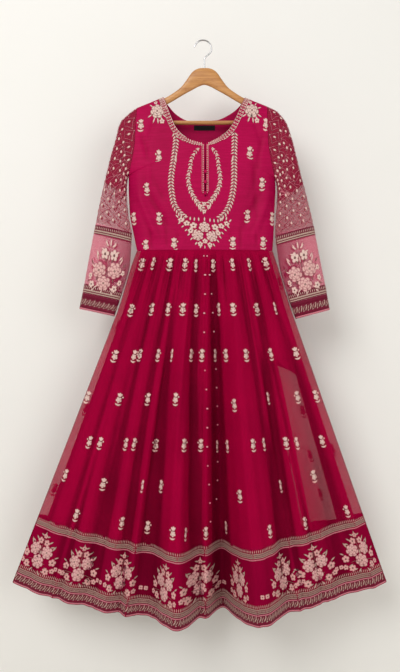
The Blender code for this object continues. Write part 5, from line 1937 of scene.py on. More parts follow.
    def line(self, side: Side, room: Workroom) -> None:
        """Makes one face of the lining, missing between the edges of its open side."""
        shape, gap = self.shape, self.gap
        edges = gap.edges if side is Side.FRONT else gap.back_edges
        places = shape.places(self.lining_columns)
        left, right = (float(edge) for edge in shape.side_slopes(np.float64(gap.settle)))
        slopes = (left + right) / 2 + (right - left) / 2 * places
        for edge in (*edges, *gap.streak):
            nearest = int(np.argmin(np.abs(slopes - edge)))
            slopes[nearest] = edge
        places = (slopes - (left + right) / 2) / ((right - left) / 2)
        start = -self.lining_overlap / shape.length
        levels = start + (1 - start) * np.linspace(0, 1, self.lining_rows) ** self.lining_crowding
        levels = np.unique(np.concatenate([levels, [gap.top, *gap.streak_rows]]))
        levels = levels[np.concatenate([[True], np.diff(levels) > 0.003])]
        for level in (gap.top, *gap.streak_rows):
            levels[int(np.argmin(np.abs(levels - level)))] = level
        slanted = gap.slant * np.clip((slopes - edges[0]) / (edges[1] - edges[0]), 0, 1)
        falls = levels[:, None] + slanted[None] * np.exp(-(((levels - gap.top) / gap.slant_reach) ** 2))[:, None]
        points = shape.grid(places, falls, side, self.lining_margin, self.lining_shorter)
        chart = Chart(f"satin_lining_{side.name.lower()}", points, side)
        inset = np.full((len(levels), len(places), 1), self.lining_inset)
        inset[: len(self.waist_insets)] = np.array(self.waist_insets)[:, None, None]
        edged = inset.copy()
        edged[:, [0, -1]] = 0
        chart.points = points - chart.normals() * edged
        chart.points[:, 0, 0] += inset[:, 0, 0]
        chart.points[:, -1, 0] -= inset[:, -1, 0]
        middles, below = (slopes[:-1] + slopes[1:]) / 2, (levels[:-1] + levels[1:]) / 2
        wide = (middles > edges[0]) & (middles < edges[1])
        narrow = (middles > gap.streak[0]) & (middles < gap.streak[1])
        streak = (below > gap.streak_rows[0]) & (below < gap.streak_rows[1])
        chart.keep = ~((below > gap.top)[:, None] & wide[None] | streak[:, None] & narrow[None])
        word = side.name.lower()
        room.cloth(chart, "lining", room.lining_thickness, "lining", "gathered", [f"silk_bodice_{word}"],
                   (f"skirt_lining_{word}",))


# ---- the bodice


@dataclass(frozen=True)
class Edges:
    """Where a row of the bodice meets an edge on the viewer's left and right."""

    left_x: float
    left_z: float
    right_x: float
    right_z: float


@dataclass
class BodiceShape:
    """The bodice as rows from the shoulder down to the waist seam, each half straight across."""

    shape: SkirtShape
    columns: int = 9
    underarm: int = 10
    swell_start: int = 5
    armhole_depth: float = 19.0
    armhole_squareness: float = 2.5
    resting: float = 0.75
    outer: tuple[Edges, ...] = (
        Edges(-166.8, -170.8, 161.9, -167.0), Edges(-167.4, -176.0, 162.1, -172.2),
        Edges(-168.3, -193.0, 162.5, -190.0), Edges(-169.6, -214.0, 163.2, -212.0),
        Edges(-171.0, -240.0, 163.9, -239.0), Edges(-172.6, -266.0, 165.0, -267.0),
        Edges(-175.4, -288.0, 168.4, -291.0), Edges(-180.0, -309.0, 173.0, -315.0),
        Edges(-184.6, -328.0, 178.0, -335.0), Edges(-188.2, -341.5, 181.6, -349.0),
        Edges(-189.3, -347.0, 183.4, -354.6), Edges(-189.2, -382.0, 184.4, -384.0),
        Edges(-187.8, -415.0, 182.4, -417.0), Edges(-185.6, -446.0, 180.9, -449.0),
        Edges(-177.0, -491.0, 179.6, -493.0),
    )
    front_neck: tuple[Edges, ...] = (
        Edges(-101.0, -144.1, 107.1, -145.3), Edges(-98.6, -149.6, 104.6, -150.6),
        Edges(-93.0, -164.5, 98.2, -164.0), Edges(-86.0, -184.0, 89.6, -184.5),
        Edges(-77.5, -206.5, 79.6, -206.5), Edges(-68.6, -226.5, 68.6, -227.5),
        Edges(-55.0, -243.5, 55.0, -242.5), Edges(-40.0, -254.5, 40.0, -252.5),
        Edges(-24.0, -262.2, 27.0, -260.2), Edges(-7.6, -267.0, 17.0, -265.6),
        Edges(4.0, -272.5, 7.0, -272.5), Edges(4.0, -312.0, 7.0, -312.0), Edges(4.0, -358.0, 7.0, -358.0),
        Edges(4.0, -403.0, 7.0, -403.0), Edges(4.0, -468.0, 7.0, -468.0),
    )
    back_neck: tuple[Edges, ...] = (
        Edges(-101.0, -144.1, 107.1, -145.3), Edges(-98.0, -150.0, 104.0, -150.6),
        Edges(-86.0, -164.5, 92.6, -163.6), Edges(-68.8, -182.1, 74.5, -178.5),
        Edges(-40.0, -197.5, 42.0, -194.5), Edges(2.0, -201.0, 8.0, -200.6), Edges(3.0, -228.0, 7.0, -228.0),
        Edges(3.0, -256.0, 7.0, -256.0), Edges(3.0, -284.0, 7.0, -284.0), Edges(3.0, -308.0, 7.0, -308.0),
        Edges(3.0, -330.0, 7.0, -330.0), Edges(3.0, -366.0, 7.0, -366.0), Edges(3.0, -400.0, 7.0, -400.0),
        Edges(3.0, -436.0, 7.0, -436.0), Edges(3.0, -486.0, 7.0, -486.0),
    )
    front_depths: tuple[float, ...] = (
        0.75, 8.6, 14.0, 19.0, 23.0, 26.0, 28.0, 29.5, 31.0, 32.0, 33.0, 34.0, 33.0, 31.0, 28.5
    )
    back_depths: tuple[float, ...] = (
        0.75, 8.6, 13.0, 17.0, 20.0, 22.0, 23.5, 24.5, 25.0, 25.5, 26.0, 26.0, 25.0, 24.0, 22.5
    )
    slit_end: int = 13
    back_neck_end: int = 5
    open_swell: float = 2.0
    closed_swell: float = 2.4
    front_opening: tuple[float, float] = (4.0, 7.0)
    back_opening: tuple[float, float] = (3.0, 7.0)

    def armhole_part(self, row: int) -> float:
        """How far down the armhole a row lies."""
        top, bottom = self.outer[0].left_z, self.outer[self.underarm].left_z
        return (self.outer[row].left_z - top) / (bottom - top)

    def superellipse(self, part: np.ndarray) -> np.ndarray:
        """The armhole's half depth, 0 at its top and bottom and 1 between them."""
        power = self.armhole_squareness
        return np.clip(1 - np.abs(2 * part - 1) ** power, 0, 1) ** (1 / power)

    def edge_depth(self, row: int) -> float:
        """How far the cloth stands from the side seams' plane at its outer edge."""
        if row >= self.underarm:
            return self.resting
        return max(self.resting, self.armhole_depth * float(self.superellipse(np.float64(self.armhole_part(row)))))

    def rows(self, side: Side) -> np.ndarray:
        """The coarse rows, one for each pair of edges, and the waist seam."""
        neck, depths = (self.front_neck, self.front_depths) if side is Side.FRONT else (
            self.back_neck, self.back_depths)
        half = np.linspace(0, 1, self.columns)
        rows = []
        for number, (edge, inner) in enumerate(zip(self.outer, neck)):
            resting = self.edge_depth(number)
            closed = ease(np.float64((number - self.swell_start) / (self.underarm - self.swell_start)))
            open_form, closed_form = 1 - (1 - half) ** self.open_swell, np.sqrt(1 - (1 - half) ** self.closed_swell)
            depth = resting + (depths[number] - resting) * (open_form + closed * (closed_form - open_form))
            left = np.stack([edge.left_x + (inner.left_x - edge.left_x) * half, side.value * depth,
                             edge.left_z + (inner.left_z - edge.left_z) * half], axis=1)
            right = np.stack([edge.right_x + (inner.right_x - edge.right_x) * half, side.value * depth,
                              edge.right_z + (inner.right_z - edge.right_z) * half], axis=1)
            rows.append(np.concatenate([left, right[::-1]]))
        last = rows[-1]
        place = -1 + 2 * (last[:, 0] - last[0, 0]) / (last[-1, 0] - last[0, 0])
        waist = self.shape.point(place, np.zeros(len(place)), side)
        waist[[0, -1], 1] = side.value * self.resting
        return np.array(rows + [waist])

    def grid(self, side: Side, steps_down: int, steps_across: int) -> tuple[np.ndarray, np.ndarray]:
        """A finer grid of the same rows.

        Args:
            side: front or back.
            steps_down: steps for each coarse row.
            steps_across: steps for each coarse column.

        Returns:
            The points, and a mask of the cells that are cloth.
        """
        coarse = self.rows(side)
        fine = resample(coarse, np.linspace(0, len(coarse) - 1, steps_down * (len(coarse) - 1) + 1), 0)
        across = np.linspace(0, self.columns - 1, steps_across * (self.columns - 1) + 1)
        left, right = resample(fine[:, : self.columns], across, 1), resample(fine[:, self.columns :], across, 1)
        limits = self.front_opening if side is Side.FRONT else self.back_opening
        left[..., 0], right[..., 0] = np.minimum(left[..., 0], limits[0]), np.maximum(right[..., 0], limits[1])
        points = np.concatenate([left, right], axis=1)
        keep = np.ones((points.shape[0] - 1, points.shape[1] - 1), bool)
        end = self.slit_end if side is Side.FRONT else self.back_neck_end
        keep[: end * steps_down, len(across) - 1] = False
        return points, keep


@dataclass
class Bodice:
    """Raw silk front and back, with the neck's bands, vines, buttons and label."""

    shape: BodiceShape
    steps_down: int = 7
    steps_across: int = 7
    easing_reach: int = 22
    easing_blur: float = 7.0
    creases: tuple[Crease, ...] = (
        Crease(Spot(138, 176), Spot(172, 236), 10.0, 6.0), Crease(Spot(136, 190), Spot(160, 245), 7.0, -5.0),
        Crease(Spot(146, 165), Spot(166, 205), 7.0, 3.4), Crease(Spot(141, 132), Spot(152, 172), 7.0, 3.4),
        Crease(Spot(268, 178), Spot(238, 236), 10.0, 6.0), Crease(Spot(271, 192), Spot(250, 245), 7.0, -5.0),
        Crease(Spot(260, 160), Spot(246, 206), 7.0, 3.4), Crease(Spot(264, 130), Spot(254, 176), 7.0, 3.4),
        Crease(Spot(252, 150), Spot(256, 226), 6.0, 3.0), Crease(Spot(150, 150), Spot(148, 200), 6.0, -2.6),
        Crease(Spot(150, 228), Spot(152, 252), 4.5, 2.8), Crease(Spot(166, 226), Spot(167, 250), 4.0, 2.4),
        Crease(Spot(240, 228), Spot(240, 252), 4.5, 2.8), Crease(Spot(255, 226), Spot(256, 248), 4.0, 2.6),
        Crease(Spot(178, 232), Spot(178, 251), 3.5, 1.8), Crease(Spot(230, 232), Spot(230, 251), 3.5, 1.8),
        Crease(Spot(160, 108), Spot(146, 150), 7.0, 2.6), Crease(Spot(248, 108), Spot(262, 150), 7.0, 2.6),
    )
    butis: tuple[tuple[float, float], ...] = (
        (141, 125), (266, 124), (159, 157), (249.6, 153), (147, 189), (262, 184), (134, 218), (159, 218),
        (247.5, 216), (272, 218), (146, 246), (174, 244), (233, 243), (263, 243),
    )
    inner_vines: tuple[tuple[Spot, ...], ...] = (
        (Spot(198, 149), Spot(194, 154), Spot(191, 161), Spot(190, 169.5), Spot(188.2, 176.5), Spot(188.6, 183),
         Spot(190.4, 190), Spot(194.2, 198), Spot(200, 206), Spot(204, 211)),
        (Spot(212.8, 149), Spot(216.3, 153.6), Spot(217.7, 159), Spot(219, 169.5), Spot(220.2, 176.5),
         Spot(219.8, 183.5), Spot(218.4, 189), Spot(213.5, 198), Spot(208, 205)),
    )
    outer_vines: tuple[tuple[Spot, ...], ...] = (
        (Spot(175, 134), Spot(176, 140), Spot(174.2, 157), Spot(172, 170), Spot(171, 182), Spot(172, 194),
         Spot(174.2, 204.6), Spot(179, 212), Spot(185.4, 218.6)),
        (Spot(234.6, 134), Spot(234.6, 140), Spot(234.2, 157), Spot(234.2, 170), Spot(234, 182), Spot(232.5, 194),
         Spot(229.6, 205), Spot(224.7, 213.7), Spot(219, 218.6)),
    )
    vine_end: tuple[Spot, ...] = (Spot(204.2, 211.5), Spot(199.8, 207), Spot(208.8, 207), Spot(204.2, 204))
    bouquet: Spot = Spot(204.5, 231)
    shoulder_flowers: tuple[Spot, ...] = (Spot(157.3, 111), Spot(252, 110.4))
    vine_size: float = 0.86
    vine_start: float = 0.78
    vine_growth: float = 0.36
    inner_pitch: float = 8.6
    outer_pitch: float = 8.2
    button_x: float = 5.5
    button_heights: tuple[float, ...] = (-341.7, -367.2, -395.2)
    button_radius: float = 4.6
    button_flatness: float = 0.66
    button_gap: float = 1.9
    band_widths: tuple[float, ...] = (14.5, 13.0, 8.5)
    band_ends: tuple[float, ...] = (0, 0.7, 1)
    slit_band_width: float = 7.2
    band_gap: float = 0.3
    band_thickness: float = 0.6
    label_heights: tuple[float, float] = (-209.0, -222.0)
    label_sides: tuple[float, float] = (-23.0, 31.0)
    label_gap: float = 1.2

    def build(self, room: Workroom) -> None:
        """Makes the two cloth pieces and everything on them."""
        charts = {}
        for side in Side:
            points, keep = self.shape.grid(side, self.steps_down, self.steps_across)
            points = self.eased(creased(points, self.creases, side))
            chart = Chart(f"silk_bodice_{side.name.lower()}", points, side, keep)
            charts[side] = chart
            sewn = self.sew(chart, side, room)
            room.cloth(chart, "silk", room.silk_thickness, "silk", "hung", ["wood_arms"],
                       (f"bodice_{side.name.lower()}",), stitched=sewn)
        self.bands(charts[Side.FRONT], room)
        self.buttons(charts[Side.FRONT], room)
        self.label(charts[Side.BACK], room)

    def eased(self, points: np.ndarray) -> np.ndarray:
        """The cloth with the bend across it at the underarms made gradual."""
        rows = np.arange(len(points))
        weight = ease(1 - np.abs(rows - self.shape.underarm * self.steps_down) / self.easing_reach)[:, None]
        depths = points[..., 1]
        near = np.exp(-(((rows[:, None] - rows[None]) / self.easing_blur) ** 2))
        soft = near @ depths / near.sum(axis=1, keepdims=True)
        points[..., 1] = depths + (soft - depths) * weight
        return points

    def sew(self, chart: Chart, side: Side, room: Workroom) -> list[bpy.types.Object]:
        """Embroiders sprigs, and on the front the vines, bouquet and shoulder flowers."""
        placed = []
        for number, spot in enumerate(self.butis):
            placed.append(Placed(sprig_of(number), *chart.find(Spot(*spot)), upright=Upright.PLUMB))
        if side is Side.FRONT:
            for line in self.inner_vines:
                found = chart.follow(line, self.inner_pitch)
                for number, (u, v, turn) in enumerate(found):
                    size = (self.vine_start + self.vine_growth * number / len(found)) * self.vine_size
                    motif = Motif.LEAF_PAIR if number % 2 else Motif.VINE_FLOWER
                    placed.append(Placed(motif, u, v, turn, size, size, Upright.PLUMB))
            for line in self.outer_vines:
                for u, v, turn in chart.follow(line, self.outer_pitch):
                    placed.append(Placed(Motif.LEAF_PAIR, u, v, turn, upright=Upright.PLUMB))
            for motif, spots, width, height in (
                (Motif.VINE_FLOWER, self.vine_end, 0.95, 0.95), (Motif.NECK_BOUQUET, [self.bouquet], 0.98, 1.14),
                (Motif.SHOULDER_FLOWER, self.shoulder_flowers, 1.2, 1.3),
            ):
                placed += [Placed(motif, *chart.find(spot), 0.0, width, height, Upright.PLUMB) for spot in spots]
        return [room.embroider(f"silk_embroidery_{side.name.lower()}", chart, placed, room.silk_thickness / 2)]

    def strip(self, chart: Chart, edge: np.ndarray, widths: np.ndarray, left: bool) -> np.ndarray:
        """A band of cloth laid on the bodice beside an edge.

        Args:
            chart: the bodice.
            edge: points of the edge, from its top down.
            widths: the band's width at each point.
            left: whether the band lies on the viewer's left of the edge.

        Returns:
            The band's points, on the bodice's middle surface.
        """
        along = np.gradient(edge[:, [0, 2]], axis=0)
        along = along / np.linalg.norm(along, axis=1, keepdims=True)
        outward = np.stack([along[:, 1], -along[:, 0]], axis=1) * (1.0 if left else -1.0)
        rows = []
        for point, away, width in zip(edge, outward, widths):
            row = []
            for part in (0.0, 0.25, 0.5, 0.75, 1.0):
                x, z = point[[0, 2]] + away * (width * part + self.band_gap)
                spot, _, _ = chart.at(*chart.beneath(x, z))
                row.append((x, spot[1], z))
            rows.append(row[::-1] if left else row)
        return np.array(rows)

    def bands(self, chart: Chart, room: Workroom) -> None:
        """Makes the neck bands and the bands beside the slit, with their embroidery."""
        half = chart.points.shape[1] // 2
        slit_top, slit_end = self.shape.underarm * self.steps_down, self.shape.slit_end * self.steps_down
        for word, column, left in (("left", half - 1, True), ("right", half, False)):
            neck = chart.points[: slit_top - 2 : 2, column]
            widths = np.interp(np.linspace(0, 1, len(neck)), self.band_ends, self.band_widths)
            slit = chart.points[slit_top : slit_end + 1 : 2, column]
            for name, edge, wide, motif, pitch in (
                (f"neck_trim_{word}", neck, widths, Motif.BAND_LEAVES, 6.6),
                (f"slit_trim_{word}", slit, np.full(len(slit), self.slit_band_width), Motif.SCALLOP, 4.4),
            ):
                strip = Chart(name, self.strip(chart, edge, wide, left))
                offset = (room.silk_thickness + self.band_thickness) / 2
                total = strip.heights()[0].max()
                places = [(0.5, above / total) for above in np.arange(pitch / 2, total, pitch)]
                placed = [Placed(motif, u, v, width=1.0 if left or motif is Motif.BAND_LEAVES else -1.0)
                          for u, v in places]
                sewn = room.embroider(f"{name}_stitching", strip, placed, offset + self.band_thickness / 2)
                node = f"neck_band_{word}" if motif is Motif.BAND_LEAVES else f"placket_{word}"
                room.cloth(strip, "silk", self.band_thickness, "embroidery", "laid", [chart.name], (node,),
                           offset=offset, stitched=[sewn])

    def buttons(self, chart: Chart, room: Workroom) -> None:
        """Makes the three silk-covered ball buttons, a little flattened towards the cloth."""
        for number, height in enumerate(self.button_heights, start=1):
            spot, _, _ = chart.at(*chart.beneath(4.0, height))
            mesh = bpy.data.meshes.new(f"silk_button_{number}")
            work = bmesh.new()
            bmesh.ops.create_uvsphere(work, u_segments=32, v_segments=20, radius=self.button_radius * METRES)
            for vertex in work.verts:
                vertex.co.y *= self.button_flatness
            depth = spot[1] - (self.button_gap + self.button_radius * self.button_flatness)
            bmesh.ops.translate(work, verts=work.verts, vec=(self.button_x * METRES, depth * METRES, height * METRES))
            work.to_mesh(mesh)
            work.free()
            mesh.shade_smooth()
            mesh.materials.append(room.finishes["silk"])
            room.join(linked(mesh.name, mesh), "silk", f"button_{number}")

    def label(self, chart: Chart, room: Workroom) -> None:
        """Makes the bare woven label inside the back neck."""
        rows = []
        for height in np.linspace(*self.label_heights, 7):
            row = []
            for x in np.linspace(*self.label_sides, 19):
                spot, _, _ = chart.at(*chart.beneath(x, height))
                row.append((x, spot[1] - self.label_gap, height))
            rows.append(row)
        label = Chart("woven_label", np.array(rows))
        room.cloth(label, "label", 0.5, "label", "laid", [chart.name], ("neck_label",))


# ---- the sleeves


@dataclass(frozen=True)
class Ring:
    """A ring of a sleeve: its outer and inner edge points and its half depth."""

    outer_x: float
    outer_z: float
    inner_x: float
    inner_z: float
    depth: float


@dataclass
class Sleeve:
    """One net sleeve with its short satin lining and its deep embroidered cuff."""

    word: str
    left: bool
    bodice: BodiceShape
    rings: tuple[Ring, ...]
    cuff: tuple[Ring, ...]
    lining_ends: tuple[float, float]
    drape: tuple[Crease, ...]
    columns: int = 96
    steps: int = 9
    cuff_steps: int = 14
    lining_rows_down: int = 44
    lining_gap: float = 2.0
    armhole_gap: float = 0.8
    trellis_height: float = 31.0
    trellis_width: float = 33.0
    borders: tuple[Border, ...] = (
        Border(203.0, Motif.SMALL_COMB), Border(50.5, Motif.SMALL_COMB), Border(20.5, Motif.LEAF_BORDER, 12.0),
        Border(3.4, Motif.PINK_RAIL),
    )
    bouquet_height: float = 116.0
    bouquet_size: tuple[float, float] = (1.18, 1.22)
    even_reach: tuple[float, float] = (0.035, 0.06)
    even_limits: tuple[float, float] = (0.35, 1.2)

    def around(self, count: int) -> tuple[np.ndarray, np.ndarray]:
        """Parts from the outer edge to the inner one round the tube, and which face each is on.

        Args:
            count: steps round the tube.

        Returns:
            The parts and, for each, -1 on the front and 1 on the back.
        """
        angles = np.linspace(0, 2 * math.pi, count + 1)
        face = np.where(np.sin(angles) >= 0, 1.0, -1.0) * (1.0 if self.left else -1.0)
        return (1 + np.cos(angles)) / 2, face

    def ring_points(self, ring: Ring) -> np.ndarray:
        """Points round one ring, from its inner edge."""
        part, face = self.around(self.columns)
        outer, inner = np.array([ring.outer_x, 0, ring.outer_z]), np.array([ring.inner_x, 0, ring.inner_z])
        points = outer + (inner - outer) * part[:, None]
        points[:, 1] = face * ring.depth * self.bodice.superellipse(part)
        return points

    def armhole(self) -> np.ndarray:
        """The first ring, just outside the bodice's armhole."""
        rows = self.bodice.outer[: self.bodice.underarm + 1]
        edge = np.array([(row.left_x, row.left_z) if self.left else (row.right_x, row.right_z) for row in rows])
        parts = np.array([self.bodice.armhole_part(row) for row in range(len(rows))])
        fine = np.linspace(0, len(rows) - 1, 200)
        edge, parts = resample(edge, fine, 0), resample(parts[:, None], fine, 0)[:, 0]
        part, face = self.around(self.columns)
        x = np.interp(part, parts, edge[:, 0]) + (-self.armhole_gap if self.left else self.armhole_gap)
        z = np.interp(part, parts, edge[:, 1])
        return np.stack([x, face * self.bodice.armhole_depth * self.bodice.superellipse(part), z], axis=1)

    def tube(self, rings: list[np.ndarray], steps: int) -> np.ndarray:
        """Rings resampled along the sleeve, with the seam's two columns on each other."""
        points = resample(np.array(rings), np.linspace(0, len(rings) - 1, steps * (len(rings) - 1) + 1), 0)
        points[:, -1] = points[:, 0]
        return points

    def pressed(self, points: np.ndarray) -> np.ndarray:
        """Presses the drape's folds into the front and back faces."""
        moved = points.copy()
        part, face = self.around(self.columns)
        pushed = creased(points, self.drape, Side.FRONT)[..., 1] - points[..., 1]
        for side in Side:
            shift = pushed * -side.value
            weight = np.clip(self.bodice.superellipse(part) * 1.2 - 0.2, 0, 1) * (face == side.value)
            moved[..., 1] += shift * weight[None]
        return moved

    def build(self, room: Workroom) -> None:
        """Makes the sleeve, its lining and its cuff."""
        rows = self.pressed(self.tube([self.armhole()] + [self.ring_points(ring) for ring in self.rings], self.steps))
        sleeve = Chart(f"net_sleeve_{self.word}", rows, tube=True)
        sewn = self.sew_sleeve(sleeve, room)
        room.cloth(sleeve, "sleeve_net", room.net_thickness, "sleeve_net", "hung",
                   ["silk_bodice_front", "silk_bodice_back"], (f"sleeve_{self.word}",), stitched=sewn)
        lining = Chart(f"sleeve_satin_{self.word}", self.lining_rows(rows), tube=True)
        room.cloth(lining, "sleeve_lining", room.lining_thickness, "lining", "hung",
                   ["silk_bodice_front", "silk_bodice_back"], (f"sleeve_lining_{self.word}",),
                   offset=-self.lining_gap)
        rows = self.tube([self.ring_points(ring) for ring in self.cuff], self.cuff_steps)
        cuff = Chart(f"net_cuff_{self.word}", rows, tube=True)
        sewn = self.sew_cuff(cuff, room)
        room.cloth(cuff, "cuff_net", room.net_thickness, "panel", "hung", [sleeve.name], (f"cuff_{self.word}",),
                   stitched=sewn)

    def lining_rows(self, rows: np.ndarray) -> np.ndarray:
        """The sleeve's upper part, cut off on a slant."""
        part, _ = self.around(self.columns)
        ends = (self.lining_ends[0] + (self.lining_ends[1] - self.lining_ends[0]) * part) * self.steps
        lined = np.empty((self.lining_rows_down, rows.shape[1], 3))
        index = np.arange(rows.shape[0])
        for column, end in enumerate(ends):
            places = np.linspace(0, end, self.lining_rows_down)
            for axis in range(3):
                lined[:, column, axis] = np.interp(places, index, rows[:, column, axis])
        return lined

    @property
    def front_middle(self) -> float:
        """The place across the pattern at the middle of the front."""
        return 0.75 if self.left else 0.25

    def sew_sleeve(self, chart: Chart, room: Workroom) -> list[bpy.types.Object]:
        """Embroiders the trellis, whose cells narrow with the sleeve."""
        along = chart.heights().mean(axis=1)
        total = along[0]
        placed = []
        count = round(total / self.trellis_height)
        drawn = room.needlework.book.trellis_cell
        for half_row in range(2 * count - 1):
            above = total * (half_row + 1) / (2 * count)
            v = 1 - float(np.interp(-above, -along, np.arange(len(along)))) / (len(along) - 1)
            level = min(int((1 - v) * (len(along) - 1)), len(along) - 1)
            round_it = np.linalg.norm(np.diff(chart.points[level], axis=0), axis=1)
            travel = np.concatenate([[0], np.cumsum(round_it)])
            cells = max(round(travel[-1] / self.trellis_width), 6)
            middle = half_row % 2 == 0
            for cell in range(cells):
                reach = (cell + (0.5 if middle else 1.0)) / cells
                u = float(np.interp(reach * travel[-1], travel, np.linspace(0, 1, len(travel))))
                across, up = self.evenness(chart, u, v)
                if middle:
                    placed.append(Placed(Motif.TRELLIS, u, v, width=travel[-1] / cells / drawn * across,
                                         height=total / count / drawn * up))
                elif u < 0.99:
                    placed.append(Placed(Motif.SPRIG, u, v, width=across, height=up))
        return [room.embroider(f"net_trellis_{self.word}", chart, placed, room.net_thickness / 2)]

    def evenness(self, chart: Chart, u: float, v: float) -> tuple[float, float]:
        """How closely the pattern's lines lie at a place, against the cloth about it.

        Args:
            chart: the sleeve.
            u: place across the pattern.
            v: place up the pattern.

        Returns:
            The ratio across and the ratio up.
        """
        _, rightward, upward = chart.at(u, v)
        left, right = max(u - self.even_reach[0], 0.0), min(u + self.even_reach[0], 1.0)
        low, high = max(v - self.even_reach[1], 0.0), min(v + self.even_reach[1], 1.0)
        tall = np.linalg.norm(chart.at(u, high)[0] - chart.at(u, low)[0]) / (high - low)
        wide = np.linalg.norm(chart.at(right, v)[0] - chart.at(left, v)[0]) / (right - left)
        ratios = np.linalg.norm(rightward) / wide, np.linalg.norm(upward) / tall
        return tuple(float(np.clip(ratio, *self.even_limits)) for ratio in ratios)

    def sew_cuff(self, chart: Chart, room: Workroom) -> list[bpy.types.Object]:
        """Embroiders the cuff: borders at both ends, with a bouquet on its front and back."""
        placed = [spot for border in self.borders for spot in border.places(chart)]
        for u in (self.front_middle, (self.front_middle + 0.5) % 1.0):
            v = self.bouquet_height / chart.height_at(u)
            placed.append(Placed(Motif.CUFF_BOUQUET, u, v, 0.0, *self.bouquet_size))
        return [room.embroider(f"cuff_stitching_{self.word}", chart, placed, room.net_thickness / 2)]


def sleeves(bodice: BodiceShape) -> list[Sleeve]:
    """The two sleeves, each with its own rings."""
    left = (
        Ring(-193.8, -191.2, -192.4, -352.4, 19.5), Ring(-211.6, -211.6, -193.2, -359.5, 20.0),
        Ring(-222.4, -252.4, -193.8, -367.5, 20.0), Ring(-239.7, -313.6, -193.8, -381.0, 19.0),
        Ring(-257.5, -390.0, -192.8, -412.0, 17.0), Ring(-266.0, -430.0, -189.2, -448.0, 15.5),
        Ring(-272.8, -464.1, -181.2, -490.0, 14.5),
    )
    right = (
        Ring(188.7, -181.0, 186.4, -360.0, 19.5), Ring(211.6, -209.1, 188.0, -367.2, 20.0),
        Ring(226.9, -252.4, 188.8, -375.0, 20.0), Ring(242.2, -313.6, 189.0, -388.0, 19.0),
        Ring(262.6, -393.0, 188.0, -414.0, 17.0), Ring(272.4, -432.0, 185.6, -450.0, 15.5),
        Ring(281.8, -471.7, 183.6, -490.9, 14.5),
    )
    left_cuff = (
        Ring(-272.9, -464.4, -181.2, -490.3, 14.5), Ring(-290.7, -556.0, -187.8, -579.0, 14.5),
        Ring(-302.6, -622.0, -206.0, -641.0, 15.0), Ring(-314.7, -683.4, -226.5, -702.3, 15.5),
    )
    right_cuff = (
        Ring(281.9, -472.0, 183.6, -491.2, 14.5), Ring(298.3, -558.4, 195.8, -579.0, 14.5),
        Ring(311.5, -624.0, 214.0, -645.0, 15.0), Ring(322.6, -685.9, 236.5, -708.9, 15.5),
    )
    left_drape = (
        Crease(Spot(122.5, 118), Spot(122.5, 196), 6.5, 2.8), Crease(Spot(116, 128), Spot(114, 196), 5.0, -1.8),
        Crease(Spot(129, 150), Spot(127, 206), 4.0, 2.0), Crease(Spot(110, 180), Spot(104, 222), 4.0, 1.6),
    )
    right_drape = (
        Crease(Spot(277, 126), Spot(282, 194), 6.5, 2.8), Crease(Spot(286, 126), Spot(291, 190), 5.0, -1.8),
        Crease(Spot(272, 160), Spot(276, 206), 4.0, 2.0), Crease(Spot(294, 178), Spot(300, 222), 4.0, 1.6),
    )
    return [
        Sleeve("left", True, bodice, left, left_cuff, (4.61, 4.45), left_drape),
        Sleeve("right", False, bodice, right, right_cuff, (4.61, 4.87), right_drape),
    ]


# ---- the studio


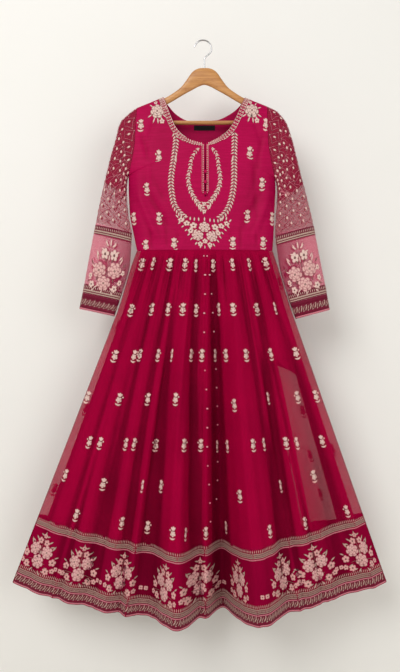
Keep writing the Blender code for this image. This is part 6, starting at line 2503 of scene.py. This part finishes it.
@dataclass
class Studio:
    """A pale wall and floor under soft light, with the camera where the photograph was taken."""

    wall_depth: float = 0.150
    wall_top: float = 2.5
    floor_height: float = -1.75
    floor_front: float = -5.0
    half_width: float = 4.0
    lamp_colour: tuple[float, float, float] = (1.0, 0.99, 0.975)
    room_colour: tuple[float, float, float, float] = (1.0, 0.99, 0.97, 1)
    room_strength: float = 0.37

    def build(self, finishes: dict[str, bpy.types.Material]) -> None:
        """Makes the stage, the lights and the camera."""
        half, back, low = self.half_width, self.wall_depth, self.floor_height
        self.plane("wall", [(-half, back, low), (half, back, low), (half, back, self.wall_top),
                            (-half, back, self.wall_top)], finishes["wall"])
        self.plane("floor", [(-half, self.floor_front, low), (half, self.floor_front, low), (half, back, low),
                             (-half, back, low)], finishes["floor"])
        self.light("key", (-1.5, -2.8, 1.1), (0.0, 0.1, -0.65), 2.0, 70.0)
        self.light("fill", (2.0, -3.0, -0.2), (0.0, 0.1, -0.75), 2.2, 31.0)
        world = bpy.data.worlds.new("room")
        world.use_nodes = True
        light = world.node_tree.nodes["Background"].inputs
        light["Color"].default_value, light["Strength"].default_value = self.room_colour, self.room_strength
        bpy.context.scene.world = world
        bpy.context.scene.view_settings.view_transform = "Standard"
        LENS.set_up()

    def plane(self, name: str, corners: list[tuple[float, float, float]], material: bpy.types.Material) -> None:
        """A flat stage piece from its corners in metres."""
        mesh = bpy.data.meshes.new(name)
        mesh.from_pydata(corners, [], [(0, 1, 2, 3)])
        mesh.materials.append(material)
        item = linked(name, mesh)

    def light(self, name: str, place: tuple[float, float, float], target: tuple[float, float, float], size: float,
              power: float) -> None:
        """A square soft light that faces a target.

        Args:
            name: its name.
            place: where it stands, in metres.
            target: what it faces.
            size: its width.
            power: its power in watts.
        """
        data = bpy.data.lights.new(name, "AREA")
        data.shape = "SQUARE"
        data.size = size
        data.energy = power
        data.color = self.lamp_colour
        lamp = bpy.data.objects.new(name, data)
        lamp.location = place
        lamp.rotation_euler = (Vector(target) - Vector(place)).to_track_quat("-Z", "Y").to_euler()
        bpy.context.scene.collection.objects.link(lamp)


def main() -> None:
    """Builds the dress, the hanger and the studio in order."""
    logging.basicConfig(level=logging.INFO, format="%(message)s")
    wardrobe = Wardrobe()
    finishes = wardrobe.make()
    room = Workroom(finishes, Needlework(MotifBook(), finishes["thread"]))
    Hanger().build(room)
    skirt_shape = SkirtShape()
    bodice_shape = BodiceShape(skirt_shape)
    Bodice(bodice_shape).build(room)
    Skirt(skirt_shape).build(room)
    for sleeve in sleeves(bodice_shape):
        sleeve.build(room)
    room.needlework.put_away()
    Studio().build(finishes)


if __name__ == "__main__":
    main()
